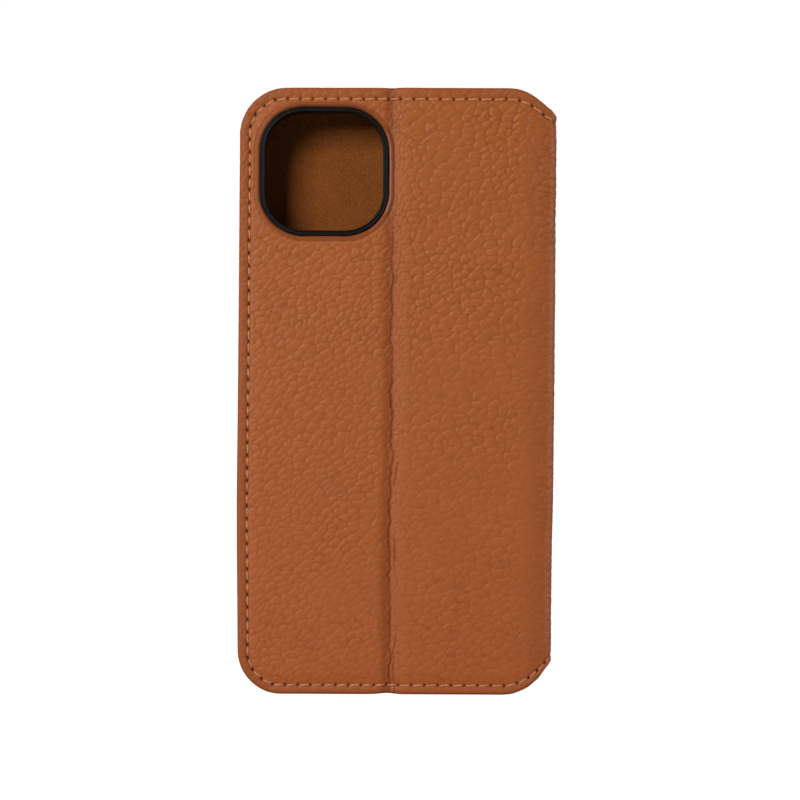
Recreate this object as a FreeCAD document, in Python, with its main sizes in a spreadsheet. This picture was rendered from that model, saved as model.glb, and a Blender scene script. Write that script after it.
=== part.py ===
import FreeCAD, Part
import Sketcher
import math
import os

# Folio wallet case for a 6.1-inch phone (146.7 x 71.5 x 7.7 mm).
# It stands upright: X is the width with the spine at +X, Z the height from the
# bottom edge, and Y the depth. The camera side faces -Y, the cover closes at +Y.

doc = FreeCAD.newDocument("phone_wallet_case")

# ---------------------------------------------------------------- dimensions
SIZES = [
    # overall
    ("half_width", 39.6, "centre to free edge, and centre to spine"),
    ("case_height", 151.4, "bottom edge to top edge"),
    ("half_face", 8.0, "centre to the outer leather face"),
    ("corner_radius", 10.5, "free-edge corners"),
    ("edge_round", 0.7, "rounding of the turned edges"),
    # fold lines
    ("crease_from_edge", 38.5, "free edge to stand crease"),
    ("back_width", 38.45, "camera-side panel, stops short of the crease"),
    ("flap_start", -1.05, "flap begins here"),
    ("flap_width", 37.6, "crease to spine hinge"),
    ("front_width", 76.15, "front cover, free edge to spine hinge"),
    # spine-side corners, cut on a slant
    ("slant_start_back", 29.05, "from the flap's left side"),
    ("slant_start_front", 67.6, "from the cover's free edge"),
    ("slant_rise", 5.0, "lower slant at the hinge"),
    ("slant_drop_level", 147.2, "upper slant at the hinge"),
    ("slant_round", 13.0, "softening where the slant begins"),
    # build-up of the panels
    ("rim", 1.2, "width of the turned leather edge"),
    ("border", 3.5, "width of the stitched border"),
    ("border_drop", 0.2, "the border lies this much below the padded middle"),
    ("border_run", 1.0, "the middle's outline runs this far past a fold"),
    ("border_past", 2.0, "the border's cut runs this far past the panel"),
    ("border_low_shift", 0.95, "lower slant of the middle starts this much earlier"),
    ("border_high_shift", 0.81, "upper slant of the middle starts this much earlier"),
    ("border_rise", 4.64, "lower slant of the middle, above the panel's"),
    ("border_fall", 4.39, "upper slant of the middle, below the panel's"),
    ("rim_shift_a", 0.31, "slant start moved in by the rim"),
    ("rim_shift_b", 0.7, "slant end moved in by the rim"),
    ("leather", 0.9, "leather thickness"),
    ("back_board_thick", 0.7, "stiffener in the back"),
    ("back_lining_thick", 0.3, "lining on the back"),
    ("back_total", 1.9, "leather, board and lining"),
    ("back_well", 1.0, "board and lining"),
    ("back_lining_from", 1.6, "outer face to lining"),
    ("front_board_thick", 0.7, "stiffener in the cover"),
    ("front_lining_thick", 0.4, "suede lining of the cover"),
    ("front_total", 2.0, "leather, board and lining"),
    ("front_well", 1.1, "board and lining"),
    # camera hole
    ("hole_left", 4.85, "free edge to the hole"),
    ("hole_right", 37.65, "free edge to the far side of the hole"),
    ("hole_low", 113.9, "hole, lower side"),
    ("hole_high", 146.9, "hole, upper side"),
    ("hole_radius", 11.0, "hole corners"),
    ("hole_round", 0.35, "rounding of the hole's edge"),
    ("hem", 1.2, "leather hem round the hole"),
    ("hem_radius", 12.2, "hem corners"),
    # tray
    ("tray_left", -37.0, "tray outer side at the free edge"),
    ("tray_back", -5.9, "tray outer face"),
    ("tray_low", 0.95, "tray lower end"),
    ("tray_width", 74.3, "tray outer width"),
    ("tray_height", 149.5, "tray outer height"),
    ("tray_depth", 9.7, "tray outer depth"),
    ("tray_radius", 12.9, "tray outer corners"),
    ("tray_floor", 1.0, "floor thickness"),
    ("tray_wall", 1.4, "wall thickness"),
    ("tray_above_floor", 8.7, "floor to the front lip"),
    ("phone_depth", 7.7, "phone thickness"),
    ("phone_radius", 11.5, "phone corners"),
    ("lip_inset", 2.3, "edge of the front lip"),
    ("lip_radius", 10.6, "front lip corners"),
    ("tray_edge_round", 0.6, "rounding of the tray's rear edge"),
    ("lip_edge_round", 0.8, "rounding of the front lip"),
    ("ring_left", 2.65, "tray side to the camera ring"),
    ("ring_low", 113.45, "tray end to the camera ring"),
    ("ring_size", 32.0, "camera ring outside"),
    ("ring_wall", 1.25, "camera ring wall"),
    ("ring_height", 2.0, "ring height above the tray floor"),
    ("ring_radius", 10.8, "ring corners"),
    ("ring_bore_radius", 9.6, "camera window corners"),
    ("ring_round", 0.4, "rounding of the ring's edge"),
    ("port_left", 31.2, "tray side to the charging port cut-out"),
    ("port_width", 12.0, "charging port cut-out"),
    ("port_back", 1.9, "tray face to the port cut-out"),
    ("port_depth", 5.9, "port cut-out, along the thickness"),
    ("port_radius", 2.4, "port cut-out corners"),
    ("sound_left_a", 12.6, "first speaker slot"),
    ("sound_left_b", 47.7, "second speaker slot"),
    ("sound_width", 14.0, "speaker slot length"),
    ("sound_back", 3.6, "tray face to the speaker slots"),
    ("sound_depth", 2.5, "speaker slot width"),
    ("sound_radius", 1.2, "speaker slot ends"),
    ("switch_low", 117.4, "tray end to the ring-switch cut-out"),
    ("switch_height", 9.0, "switch cut-out length"),
    ("switch_back", 2.05, "tray face to the switch cut-out"),
    ("switch_depth", 5.6, "switch cut-out width"),
    ("switch_radius", 1.2, "switch cut-out corners"),
    ("key_back", 2.85, "tray face to the key windows"),
    ("key_slot", 4.0, "key window width"),
    ("key_slot_radius", 1.9, "key window corners"),
    ("key_clear", 0.15, "clearance round a key pad"),
    ("key_thick", 1.3, "key pad thickness"),
    ("key_pad_width", 3.7, "key pad width"),
    ("key_pad_radius", 1.75, "key pad ends"),
    ("key_round", 0.35, "key pad crown"),
    ("vol_round", 0.15, "volume pad crown, lower because the spine folds past it"),
    ("side_key_low", 90.0, "tray end to the side key window"),
    ("side_key_long", 18.0, "side key window length"),
    ("side_pad_long", 17.7, "side key pad length"),
    ("vol_key_long", 11.0, "volume key window length"),
    ("vol_pad_long", 10.7, "volume key pad length"),
    ("vol_up_low", 102.0, "tray end to the volume-up window"),
    ("vol_down_low", 88.0, "tray end to the volume-down window"),
    ("wall_cut", 3.0, "depth of cuts through a tray wall"),
    ("far_cut", 73.0, "start of cuts through the spine-side wall"),
    ("keeper_thick", 0.5, "steel keeper thickness"),
    ("keeper_long", 24.0, "steel keeper length"),
    ("keeper_wide", 5.0, "steel keeper width"),
    ("keeper_back", 2.4, "tray face to the keepers"),
    ("keeper_low_a", 20.0, "first keeper"),
    ("keeper_low_b", 58.0, "second keeper"),
    ("keeper_seat", 0.9, "tray side to the keeper's outer face"),
    # adhesive pad
    ("glue_left", -34.0, "pad side"),
    ("glue_back", -6.1, "pad outer face"),
    ("glue_low", 8.0, "pad lower end"),
    ("glue_width", 30.0, "pad width"),
    ("glue_height", 98.0, "pad height"),
    ("glue_thick", 0.2, "pad thickness"),
    ("glue_radius", 4.0, "pad corners"),
    # spine
    ("spine_left", 29.6, "construction side"),
    ("spine_low", 5.0, "lower end"),
    ("spine_height", 142.2, "length"),
    ("spine_block", 10.0, "construction width"),
    ("spine_depth", 16.0, "outside, back to front"),
    ("spine_radius", 3.0, "outer radius of the folds"),
    ("spine_bore_start", 1.0, "inside, construction side"),
    ("spine_bore_end", 9.1, "inside, leather face"),
    ("spine_bore_high", 15.1, "inside, front"),
    ("spine_bore_radius", 2.1, "inner radius of the leather"),
    ("spine_open", 7.05, "everything short of this is cut away"),
    ("spine_slant_low", 2.6, "lower slant across the spine"),
    ("spine_slant_high", 139.7, "upper slant across the spine"),
    ("spine_lining_end", 8.6, "lining outer face"),
    ("spine_lining_inner", 8.3, "lining inner face"),
    ("spine_lining_from", 1.2, "lining, inner side"),
    ("spine_lining_to", 14.8, "lining, inner side, front"),
    ("spine_lining_radius", 1.8, "lining outer radius"),
    ("spine_lining_bore", 1.5, "lining inner radius"),
    ("stiff_left", 38.2, "stiffener inner face"),
    ("stiff_back", -4.8, "stiffener side"),
    ("stiff_low", 9.5, "stiffener lower end"),
    ("stiff_thick", 0.5, "stiffener thickness"),
    ("stiff_width", 9.6, "stiffener width"),
    ("stiff_height", 132.4, "stiffener length"),
    # cover, inside
    ("front_inner", 6.0, "cover inner face"),
    ("front_lining_face", 6.4, "lining outer face"),
    ("front_board_face", 7.1, "board outer face"),
    ("cash_left", -38.0, "cash panel side"),
    ("cash_low", 1.4, "cash panel lower edge"),
    ("cash_width", 69.0, "cash panel width"),
    ("cash_height", 110.6, "cash panel height"),
    ("pocket_thick", 0.5, "thickness of each pocket layer"),
    ("pocket_left", -35.2, "card pocket side"),
    ("pocket_low", 3.6, "card pocket lower edge"),
    ("pocket_width", 63.2, "card pocket width"),
    ("pocket_low_high", 76.0, "lower pocket height"),
    ("pocket_mid_high", 88.0, "middle pocket height"),
    ("pocket_top_high", 100.0, "upper pocket height"),
    ("cash_radius", 8.6, "cash panel corners"),
    ("pocket_radius", 6.4, "card pocket corners"),
    ("notch_radius", 8.0, "thumb notch"),
    ("notch_mid", 31.6, "thumb notch, from the pocket's side"),
    ("magnet_left", -36.4, "magnet side"),
    ("magnet_low_a", 20.0, "first magnet"),
    ("magnet_low_b", 58.0, "second magnet"),
    ("magnet_wide", 5.0, "magnet width"),
    ("magnet_long", 24.0, "magnet length"),
    ("magnet_from_edge", 3.2, "free edge to magnet"),
    # thread
    ("thread_in", 2.75, "edge to the seam"),
    ("thread_pitch", 3.15, "seam pitch"),
    ("thread_long", 2.5, "visible stitch"),
    ("thread_wide", 0.65, "thread width"),
    ("thread_high", 0.2, "thread thickness above the border"),
    ("thread_clear", 1.6, "seam stops short of a fold"),
]

sheet = doc.addObject("Spreadsheet::Sheet", "Dims")
SIZE = {}
for number, (alias, value, note) in enumerate(SIZES, start=1):
    sheet.set("A%d" % number, alias)
    sheet.set("B%d" % number, str(value))
    sheet.set("C%d" % number, note)
    sheet.setAlias("B%d" % number, alias)
    SIZE[alias] = value
doc.recompute()


def size(name):
    """A size, read from the sheet."""
    return float(getattr(sheet, name))


def ex(*terms):
    """Sum of sheet cells, as an expression and as a number: ex('a', '-b')."""
    text, value = "", 0.0
    for term in terms:
        name = term.lstrip("-")
        minus = term.startswith("-")
        if text:
            text += " - " if minus else " + "
        elif minus:
            text += "-"
        text += "Dims." + name
        value += -size(name) if minus else size(name)
    return text, value


ZERO = ("0", 0.0)
PLUS_FLIP = {"XZ_Plane": -1, "YZ_Plane": 1, "XY_Plane": 1}
PIECES = []


class Piece:
    """One sub-part: a body modelled from its own lower corner."""

    def __init__(self, label, x, y, z):
        self.label = label
        self.body = doc.addObject("PartDesign::Body", label)
        self.body.Label = label
        for axis, value in (("x", x), ("y", y), ("z", z)):
            self.body.setExpression("Placement.Base." + axis, value[0])
        self.count = 0
        PIECES.append(self.body)

    def name(self, kind):
        self.count += 1
        return "%s_%s%d" % (self.label, kind, self.count)

    def sketch(self, plane, level):
        sk = self.body.newObject("Sketcher::SketchObject", self.name("sketch"))
        for feature in self.body.Origin.OriginFeatures:
            if getattr(feature, "Role", "") == plane:
                sk.AttachmentSupport = [(feature, "")]
        sk.MapMode = "FlatFace"
        if level is not ZERO:
            sign = "" if PLUS_FLIP[plane] > 0 else "-"
            sk.setExpression("AttachmentOffset.Base.z", "%s(%s)" % (sign, level[0]))
        return sk

    def place_point(self, sk, geo, pos, axis, value):
        """Fixes one coordinate of a sketch point."""
        if abs(value[1]) < 1e-9:
            sk.addConstraint(Sketcher.Constraint("PointOnObject", geo, pos, -2 if axis == "X" else -1))
            return
        number = sk.addConstraint(Sketcher.Constraint("Distance" + axis, -1, 1, geo, pos, value[1]))
        sk.setExpression("Constraints[%d]" % number, value[0])

    def polygon(self, plane, level, points, radii=None, sk=None):
        """A closed outline, drawn anticlockwise; square corners may be rounded."""
        radii = radii or {}
        sk = sk or self.sketch(plane, level)
        first = sk.GeometryCount
        total = len(points)
        spots = [FreeCAD.Vector(p[0][1], p[1][1], 0) for p in points]
        starts, ends, level_line = [], [], []
        for i in range(total):
            a, b = spots[i], spots[(i + 1) % total]
            way = (b - a).normalize()
            starts.append(a + way * radii[i][1] if i in radii else a)
            ends.append(b - way * radii[(i + 1) % total][1] if (i + 1) % total in radii else b)
            level_line.append(abs(way.y) < 1e-6)
            sk.addGeometry(Part.LineSegment(starts[i], ends[i]), False)
        for i in range(total):
            before = (i - 1) % total
            if i not in radii:
                sk.addConstraint(Sketcher.Constraint("Coincident", first + before, 2, first + i, 1))
                self.place_point(sk, first + i, 1, "X", points[i][0])
                self.place_point(sk, first + i, 1, "Y", points[i][1])
                continue
            radius = radii[i]
            centre = ends[before] + starts[i] - spots[i]
            a0 = math.atan2(ends[before].y - centre.y, ends[before].x - centre.x)
            a1 = math.atan2(starts[i].y - centre.y, starts[i].x - centre.x)
            if a1 < a0:
                a1 += 2 * math.pi
            bow = sk.addGeometry(Part.ArcOfCircle(Part.Circle(centre, FreeCAD.Vector(0, 0, 1), radius[1]),
                                                  a0, a1), False)
            sk.addConstraint(Sketcher.Constraint("Tangent", first + before, 2, bow, 1))
            sk.addConstraint(Sketcher.Constraint("Tangent", bow, 2, first + i, 1))
            number = sk.addConstraint(Sketcher.Constraint("Radius", bow, radius[1]))
            sk.setExpression("Constraints[%d]" % number, radius[0])
            for line, pos in ((before, 2), (i, 1)):
                if level_line[line]:
                    self.place_point(sk, first + line, pos, "Y", points[i][1])
                else:
                    self.place_point(sk, first + line, pos, "X", points[i][0])
        doc.recompute()
        return sk

    def round_rect(self, plane, level, x0, x1, z0, z1, radius):
        sk = self.sketch(plane, level)
        r = radius[1]
        a, b, c, d = x0[1], x1[1], z0[1], z1[1]
        V = FreeCAD.Vector
        N = V(0, 0, 1)
        sk.addGeometry(Part.LineSegment(V(a + r, c, 0), V(b - r, c, 0)), False)
        sk.addGeometry(Part.ArcOfCircle(Part.Circle(V(b - r, c + r, 0), N, r), -math.pi / 2, 0), False)
        sk.addGeometry(Part.LineSegment(V(b, c + r, 0), V(b, d - r, 0)), False)
        sk.addGeometry(Part.ArcOfCircle(Part.Circle(V(b - r, d - r, 0), N, r), 0, math.pi / 2), False)
        sk.addGeometry(Part.LineSegment(V(b - r, d, 0), V(a + r, d, 0)), False)
        sk.addGeometry(Part.ArcOfCircle(Part.Circle(V(a + r, d - r, 0), N, r), math.pi / 2, math.pi), False)
        sk.addGeometry(Part.LineSegment(V(a, d - r, 0), V(a, c + r, 0)), False)
        sk.addGeometry(Part.ArcOfCircle(Part.Circle(V(a + r, c + r, 0), N, r), math.pi, 1.5 * math.pi), False)
        for i in range(8):
            j = (i + 1) % 8
            sk.addConstraint(Sketcher.Constraint("Tangent", i, 2, j, 1))
        for i, kind in ((0, "Horizontal"), (2, "Vertical"), (4, "Horizontal"), (6, "Vertical")):
            sk.addConstraint(Sketcher.Constraint(kind, i))
        number = sk.addConstraint(Sketcher.Constraint("Radius", 1, r))
        sk.setExpression("Constraints[%d]" % number, radius[0])
        for i in (3, 5, 7):
            sk.addConstraint(Sketcher.Constraint("Equal", 1, i))
        self.place_point(sk, 0, 1, "Y", z0)
        self.place_point(sk, 2, 1, "X", x1)
        self.place_point(sk, 4, 1, "Y", z1)
        self.place_point(sk, 6, 1, "X", x0)
        doc.recompute()
        return sk

    def circle(self, plane, level, x, z, radius):
        sk = self.sketch(plane, level)
        sk.addGeometry(Part.Circle(FreeCAD.Vector(x[1], z[1], 0), FreeCAD.Vector(0, 0, 1), radius[1]), False)
        number = sk.addConstraint(Sketcher.Constraint("Radius", 0, radius[1]))
        sk.setExpression("Constraints[%d]" % number, radius[0])
        self.place_point(sk, 0, 3, "X", x)
        self.place_point(sk, 0, 3, "Y", z)
        doc.recompute()
        return sk

    def volume(self):
        return self.body.Shape.Volume if self.body.Tip else 0.0

    def pad(self, sk, plane, length):
        before = self.volume()
        pad = self.body.newObject("PartDesign::Pad", self.name("pad"))
        pad.Profile = sk
        pad.setExpression("Length", length[0])
        pad.Reversed = PLUS_FLIP[plane] < 0
        doc.recompute()
        if self.volume() <= before:
            raise RuntimeError("%s: pad added nothing" % self.label)
        return pad

    def cut(self, sk, plane, length):
        """A pocket from the sketch towards the plane's positive axis."""
        before = self.volume()
        pocket = self.body.newObject("PartDesign::Pocket", self.name("pocket"))
        pocket.Profile = sk
        pocket.setExpression("Length", length[0])
        pocket.Reversed = PLUS_FLIP[plane] > 0
        doc.recompute()
        if self.volume() >= before - 1e-6:
            raise RuntimeError("%s: pocket %s cut nothing" % (self.label, pocket.Name))
        return pocket

    def fillet(self, wanted, radius, kind="PartDesign::Fillet"):
        tip = self.body.Tip
        names = ["Edge%d" % (i + 1) for i, edge in enumerate(tip.Shape.Edges) if wanted(edge)]
        if not names:
            raise RuntimeError("%s: no edge to round" % self.label)
        feature = self.body.newObject(kind, self.name("round"))
        feature.Base = (tip, names)
        feature.setExpression("Radius" if kind.endswith("Fillet") else "Size", radius[0])
        doc.recompute()
        if not feature.Shape.isValid() or feature.Shape.isNull():
            raise RuntimeError("%s: rounding failed" % self.label)
        return feature


def points_of(edge):
    first, last = edge.ParameterRange
    return [edge.valueAt(first + (last - first) * k / 6.0) for k in range(7)]


def along(axis, spots):
    """Edges parallel to an axis that pass through one of the given spots."""
    def wanted(edge):
        pts = points_of(edge)
        for u, v in spots:
            if axis == "y" and all(abs(p.x - u) < 0.02 and abs(p.z - v) < 0.02 for p in pts):
                return True
            if axis == "x" and all(abs(p.y - u) < 0.02 and abs(p.z - v) < 0.02 for p in pts):
                return True
        return False
    return wanted


def on_level(axis, level, keep=None):
    """Edges that lie wholly at one level, other than those that keep refuses."""
    def wanted(edge):
        pts = points_of(edge)
        if not all(abs(getattr(p, axis) - level) < 0.01 for p in pts):
            return False
        return keep is None or keep(pts)
    return wanted


def lower_border(piece, level, width, middle, radii):
    """Cuts the stitched border down, outside the outline of the padded middle."""
    sk = piece.polygon("XZ_Plane", level, [
        (ex("-border_past"), ex("-border_past")), (ex(width, "border_past"), ex("-border_past")),
        (ex(width, "border_past"), ex("case_height", "border_past")),
        (ex("-border_past"), ex("case_height", "border_past"))])
    piece.polygon("XZ_Plane", level, middle, radii, sk)
    piece.cut(sk, "XZ_Plane", ex("border_drop"))


# ---------------------------------------------------- camera-side back panel
def back_profile(piece, level, inset):
    shift = ("rim",) if inset else ()
    lo = ex("rim") if inset else ZERO
    hi_x = ex("back_width", *["-" + s for s in shift])
    hi_z = ex("case_height", *["-" + s for s in shift])
    bow = ex("corner_radius", "-rim") if inset else ex("corner_radius")
    return piece.polygon("XZ_Plane", level, [(lo, lo), (hi_x, lo), (hi_x, hi_z), (lo, hi_z)],
                         {0: bow, 3: bow})


back_leather = Piece("back_leather", ex("-half_width"), ex("-half_face"), ZERO)
back_leather.pad(back_profile(back_leather, ZERO, False), "XZ_Plane", ex("back_total"))
back_leather.cut(back_profile(back_leather, ex("leather"), True), "XZ_Plane", ex("back_well"))
hem_sketch = back_leather.round_rect("XZ_Plane", ex("leather"),
                                     ex("hole_left", "-hem"), ex("back_width"),
                                     ex("hole_low", "-hem"), ex("hole_high", "hem"), ex("hem_radius"))
back_leather.pad(hem_sketch, "XZ_Plane", ex("back_well"))
hole_sketch = back_leather.round_rect("XZ_Plane", ZERO, ex("hole_left"), ex("hole_right"),
                                      ex("hole_low"), ex("hole_high"), ex("hole_radius"))
back_leather.cut(hole_sketch, "XZ_Plane", ex("back_total"))


def outline_only(pts):
    inside = all(size("hole_left") - 0.1 < p.x < size("hole_right") + 0.1
                 and size("hole_low") - 0.1 < p.z < size("hole_high") + 0.1 for p in pts)
    fold = all(abs(p.x - size("back_width")) < 0.01 for p in pts)
    return not inside and not fold


def hole_only(pts):
    return all(size("hole_left") - 0.1 < p.x < size("hole_right") + 0.1
               and size("hole_low") - 0.1 < p.z < size("hole_high") + 0.1 for p in pts)


back_leather.fillet(on_level("y", 0.0, outline_only), ex("edge_round"))
back_leather.fillet(on_level("y", 0.0, hole_only), ex("hole_round"))
lower_border(back_leather, ZERO, "back_width", [
    (ex("border"), ex("border")), (ex("back_width", "border_run"), ex("border")),
    (ex("back_width", "border_run"), ex("case_height", "-border")), (ex("border"), ex("case_height", "-border"))],
    {0: ex("corner_radius", "-border"), 3: ex("corner_radius", "-border")})

back_board = Piece("back_board", ex("-half_width"), ex("-half_face", "leather"), ZERO)
back_board.pad(back_profile(back_board, ZERO, True), "XZ_Plane", ex("back_board_thick"))
board_hole = back_board.round_rect("XZ_Plane", ZERO, ex("hole_left", "-hem"), ex("back_width"),
                                   ex("hole_low", "-hem"), ex("hole_high", "hem"), ex("hem_radius"))
back_board.cut(board_hole, "XZ_Plane", ex("back_board_thick"))

back_lining = Piece("back_lining", ex("-half_width"), ex("-half_face", "back_lining_from"), ZERO)
back_lining.pad(back_profile(back_lining, ZERO, True), "XZ_Plane", ex("back_lining_thick"))
lining_hole = back_lining.round_rect("XZ_Plane", ZERO, ex("hole_left", "-hem"), ex("back_width"),
                                     ex("hole_low", "-hem"), ex("hole_high", "hem"), ex("hem_radius"))
back_lining.cut(lining_hole, "XZ_Plane", ex("back_lining_thick"))

tray_adhesive = Piece("tray_adhesive", ex("glue_left"), ex("glue_back"), ex("glue_low"))
tray_adhesive.pad(tray_adhesive.round_rect("XZ_Plane", ZERO, ZERO, ex("glue_width"), ZERO,
                                           ex("glue_height"), ex("glue_radius")),
                  "XZ_Plane", ex("glue_thick"))

# ---------------------------------------------------------------------- tray
tray = Piece("phone_tray", ex("tray_left"), ex("tray_back"), ex("tray_low"))
tray.pad(tray.round_rect("XZ_Plane", ZERO, ZERO, ex("tray_width"), ZERO, ex("tray_height"),
                         ex("tray_radius")), "XZ_Plane", ex("tray_depth"))
tray.fillet(on_level("y", 0.0), ex("tray_edge_round"))
tray.fillet(on_level("y", size("tray_depth")), ex("lip_edge_round"))
# room for the phone, and the narrower mouth inside the front lip
tray.cut(tray.round_rect("XZ_Plane", ex("tray_floor"), ex("tray_wall"), ex("tray_width", "-tray_wall"),
                         ex("tray_wall"), ex("tray_height", "-tray_wall"), ex("phone_radius")),
         "XZ_Plane", ex("phone_depth"))
tray.cut(tray.round_rect("XZ_Plane", ex("tray_floor"), ex("lip_inset"), ex("tray_width", "-lip_inset"),
                         ex("lip_inset"), ex("tray_height", "-lip_inset"), ex("lip_radius")),
         "XZ_Plane", ex("tray_above_floor"))
# camera ring, standing out through the leather
tray.pad(tray.round_rect("XZ_Plane", ex("-ring_height"), ex("ring_left"), ex("ring_left", "ring_size"),
                         ex("ring_low"), ex("ring_low", "ring_size"), ex("ring_radius")),
         "XZ_Plane", ex("ring_height", "tray_floor"))
tray.cut(tray.round_rect("XZ_Plane", ex("-ring_height"), ex("ring_left", "ring_wall"),
                         ex("ring_left", "ring_size", "-ring_wall"), ex("ring_low", "ring_wall"),
                         ex("ring_low", "ring_size", "-ring_wall"), ex("ring_bore_radius")),
         "XZ_Plane", ex("ring_height", "tray_floor"))
tray.fillet(on_level("y", -size("ring_height")), ex("ring_round"))
# charging port and speaker slots through the lower wall
tray.cut(tray.round_rect("XY_Plane", ZERO, ex("port_left"), ex("port_left", "port_width"),
                         ex("port_back"), ex("port_back", "port_depth"), ex("port_radius")),
         "XY_Plane", ex("wall_cut"))
for start in ("sound_left_a", "sound_left_b"):
    tray.cut(tray.round_rect("XY_Plane", ZERO, ex(start), ex(start, "sound_width"),
                             ex("sound_back"), ex("sound_back", "sound_depth"), ex("sound_radius")),
             "XY_Plane", ex("wall_cut"))
# switch and volume windows through the spine-side wall
tray.cut(tray.round_rect("YZ_Plane", ex("far_cut", "-tray_wall"), ex("switch_back"), ex("switch_back", "switch_depth"),
                         ex("switch_low"), ex("switch_low", "switch_height"), ex("switch_radius")),
         "YZ_Plane", ex("wall_cut"))
for start in ("vol_up_low", "vol_down_low"):
    tray.cut(tray.round_rect("YZ_Plane", ex("far_cut", "-tray_wall"), ex("key_back"), ex("key_back", "key_slot"),
                             ex(start), ex(start, "vol_key_long"), ex("key_slot_radius")),
             "YZ_Plane", ex("wall_cut"))
# side key window and keeper seats in the free-edge wall
tray.cut(tray.round_rect("YZ_Plane", ZERO, ex("key_back"), ex("key_back", "key_slot"),
                         ex("side_key_low"), ex("side_key_low", "side_key_long"), ex("key_slot_radius")),
         "YZ_Plane", ex("tray_wall"))
for start in ("keeper_low_a", "keeper_low_b"):
    tray.cut(tray.polygon("YZ_Plane", ex("keeper_seat"), [
        (ex("keeper_back"), ex(start)),
        (ex("keeper_back", "keeper_wide"), ex(start)),
        (ex("keeper_back", "keeper_wide"), ex(start, "keeper_long")),
        (ex("keeper_back"), ex(start, "keeper_long"))]), "YZ_Plane", ex("keeper_thick"))

side_pad = Piece("side_button_pad", ex("tray_left", "-key_round"), ex("tray_back", "key_back", "key_clear"),
                 ex("tray_low", "side_key_low", "key_clear"))
side_pad.pad(side_pad.round_rect("YZ_Plane", ZERO, ZERO, ex("key_pad_width"), ZERO, ex("side_pad_long"),
                                 ex("key_pad_radius")), "YZ_Plane", ex("key_thick"))
side_pad.fillet(on_level("x", 0.0), ex("key_round"))

for label, start in (("volume_up_pad", "vol_up_low"), ("volume_down_pad", "vol_down_low")):
    pad = Piece(label, ex("tray_left", "tray_width", "vol_round", "-key_thick"),
                ex("tray_back", "key_back", "key_clear"), ex("tray_low", start, "key_clear"))
    pad.pad(pad.round_rect("YZ_Plane", ZERO, ZERO, ex("key_pad_width"), ZERO, ex("vol_pad_long"),
                           ex("key_pad_radius")), "YZ_Plane", ex("key_thick"))
    pad.fillet(on_level("x", size("key_thick")), ex("vol_round"))

# steel keepers: two equal strips in one node
keeper_bars = []
for number, start in enumerate(("keeper_low_a", "keeper_low_b")):
    bar = doc.addObject("Part::Box", "keeper_bar%d" % number)
    bar.setExpression("Length", "Dims.keeper_thick")
    bar.setExpression("Width", "Dims.keeper_wide")
    bar.setExpression("Height", "Dims.keeper_long")
    bar.setExpression("Placement.Base.x", "Dims.tray_left + Dims.keeper_seat")
    bar.setExpression("Placement.Base.y", "Dims.tray_back + Dims.keeper_back")
    bar.setExpression("Placement.Base.z", "Dims.tray_low + Dims.%s" % start)
    keeper_bars.append(bar)
keepers = doc.addObject("Part::MultiFuse", "keeper_strips")
keepers.Shapes = keeper_bars
keepers.Label = "keeper_strips"


# ---------------------------------------------------------------- stand flap
def flap_profile(piece, level, inset):
    i = ["rim"] if inset else []
    low = ex("rim") if inset else ZERO
    left = ex("rim") if inset else ZERO
    high = ex("case_height", *["-" + s for s in i])
    right = ex("flap_width", *["-" + s for s in i])
    start = ex("slant_start_back", *(["-rim_shift_a"] if inset else []))
    rise = ex("slant_rise", *(["rim_shift_b"] if inset else []))
    drop = ex("slant_drop_level", *(["-rim_shift_b"] if inset else []))
    return piece.polygon("XZ_Plane", level, [(left, low), (start, low), (right, rise), (right, drop),
                                             (start, high), (left, high)])


flap = Piece("flap_leather", ex("flap_start"), ex("-half_face"), ZERO)
flap.pad(flap_profile(flap, ZERO, False), "XZ_Plane", ex("back_total"))
flap.fillet(along("y", [(size("slant_start_back"), 0), (size("slant_start_back"), size("case_height"))]),
            ex("slant_round"))
flap.cut(flap_profile(flap, ex("leather"), True), "XZ_Plane", ex("back_well"))
flap.fillet(on_level("y", 0.0, lambda pts: not (all(abs(p.x) < 0.01 for p in pts)
                                                or all(abs(p.x - size("flap_width")) < 0.01 for p in pts))),
            ex("edge_round"))
lower_border(flap, ZERO, "flap_width", [
    (ex("-border_run"), ex("border")),
    (ex("slant_start_back", "-border_low_shift"), ex("border")),
    (ex("flap_width", "border_run"), ex("slant_rise", "border_rise")),
    (ex("flap_width", "border_run"), ex("slant_drop_level", "-border_fall")),
    (ex("slant_start_back", "-border_high_shift"), ex("case_height", "-border")),
    (ex("-border_run"), ex("case_height", "-border"))], {})

flap_board = Piece("flap_board", ex("flap_start"), ex("-half_face", "leather"), ZERO)
flap_board.pad(flap_profile(flap_board, ZERO, True), "XZ_Plane", ex("back_board_thick"))
flap_lining = Piece("flap_lining", ex("flap_start"), ex("-half_face", "back_lining_from"), ZERO)
flap_lining.pad(flap_profile(flap_lining, ZERO, True), "XZ_Plane", ex("back_lining_thick"))


# --------------------------------------------------------------------- spine
def spine_ends(piece):
    """Cuts both ends on the slant that the corners of the panels start."""
    piece.cut(piece.polygon("XZ_Plane", ZERO, [
        (ex("spine_open"), ZERO), (ex("spine_block"), ZERO), (ex("spine_block"), ex("spine_slant_low"))]),
        "XZ_Plane", ex("spine_depth"))
    piece.cut(piece.polygon("XZ_Plane", ZERO, [
        (ex("spine_open"), ex("spine_height")), (ex("spine_block"), ex("spine_slant_high")),
        (ex("spine_block"), ex("spine_height"))]),
        "XZ_Plane", ex("spine_depth"))


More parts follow.
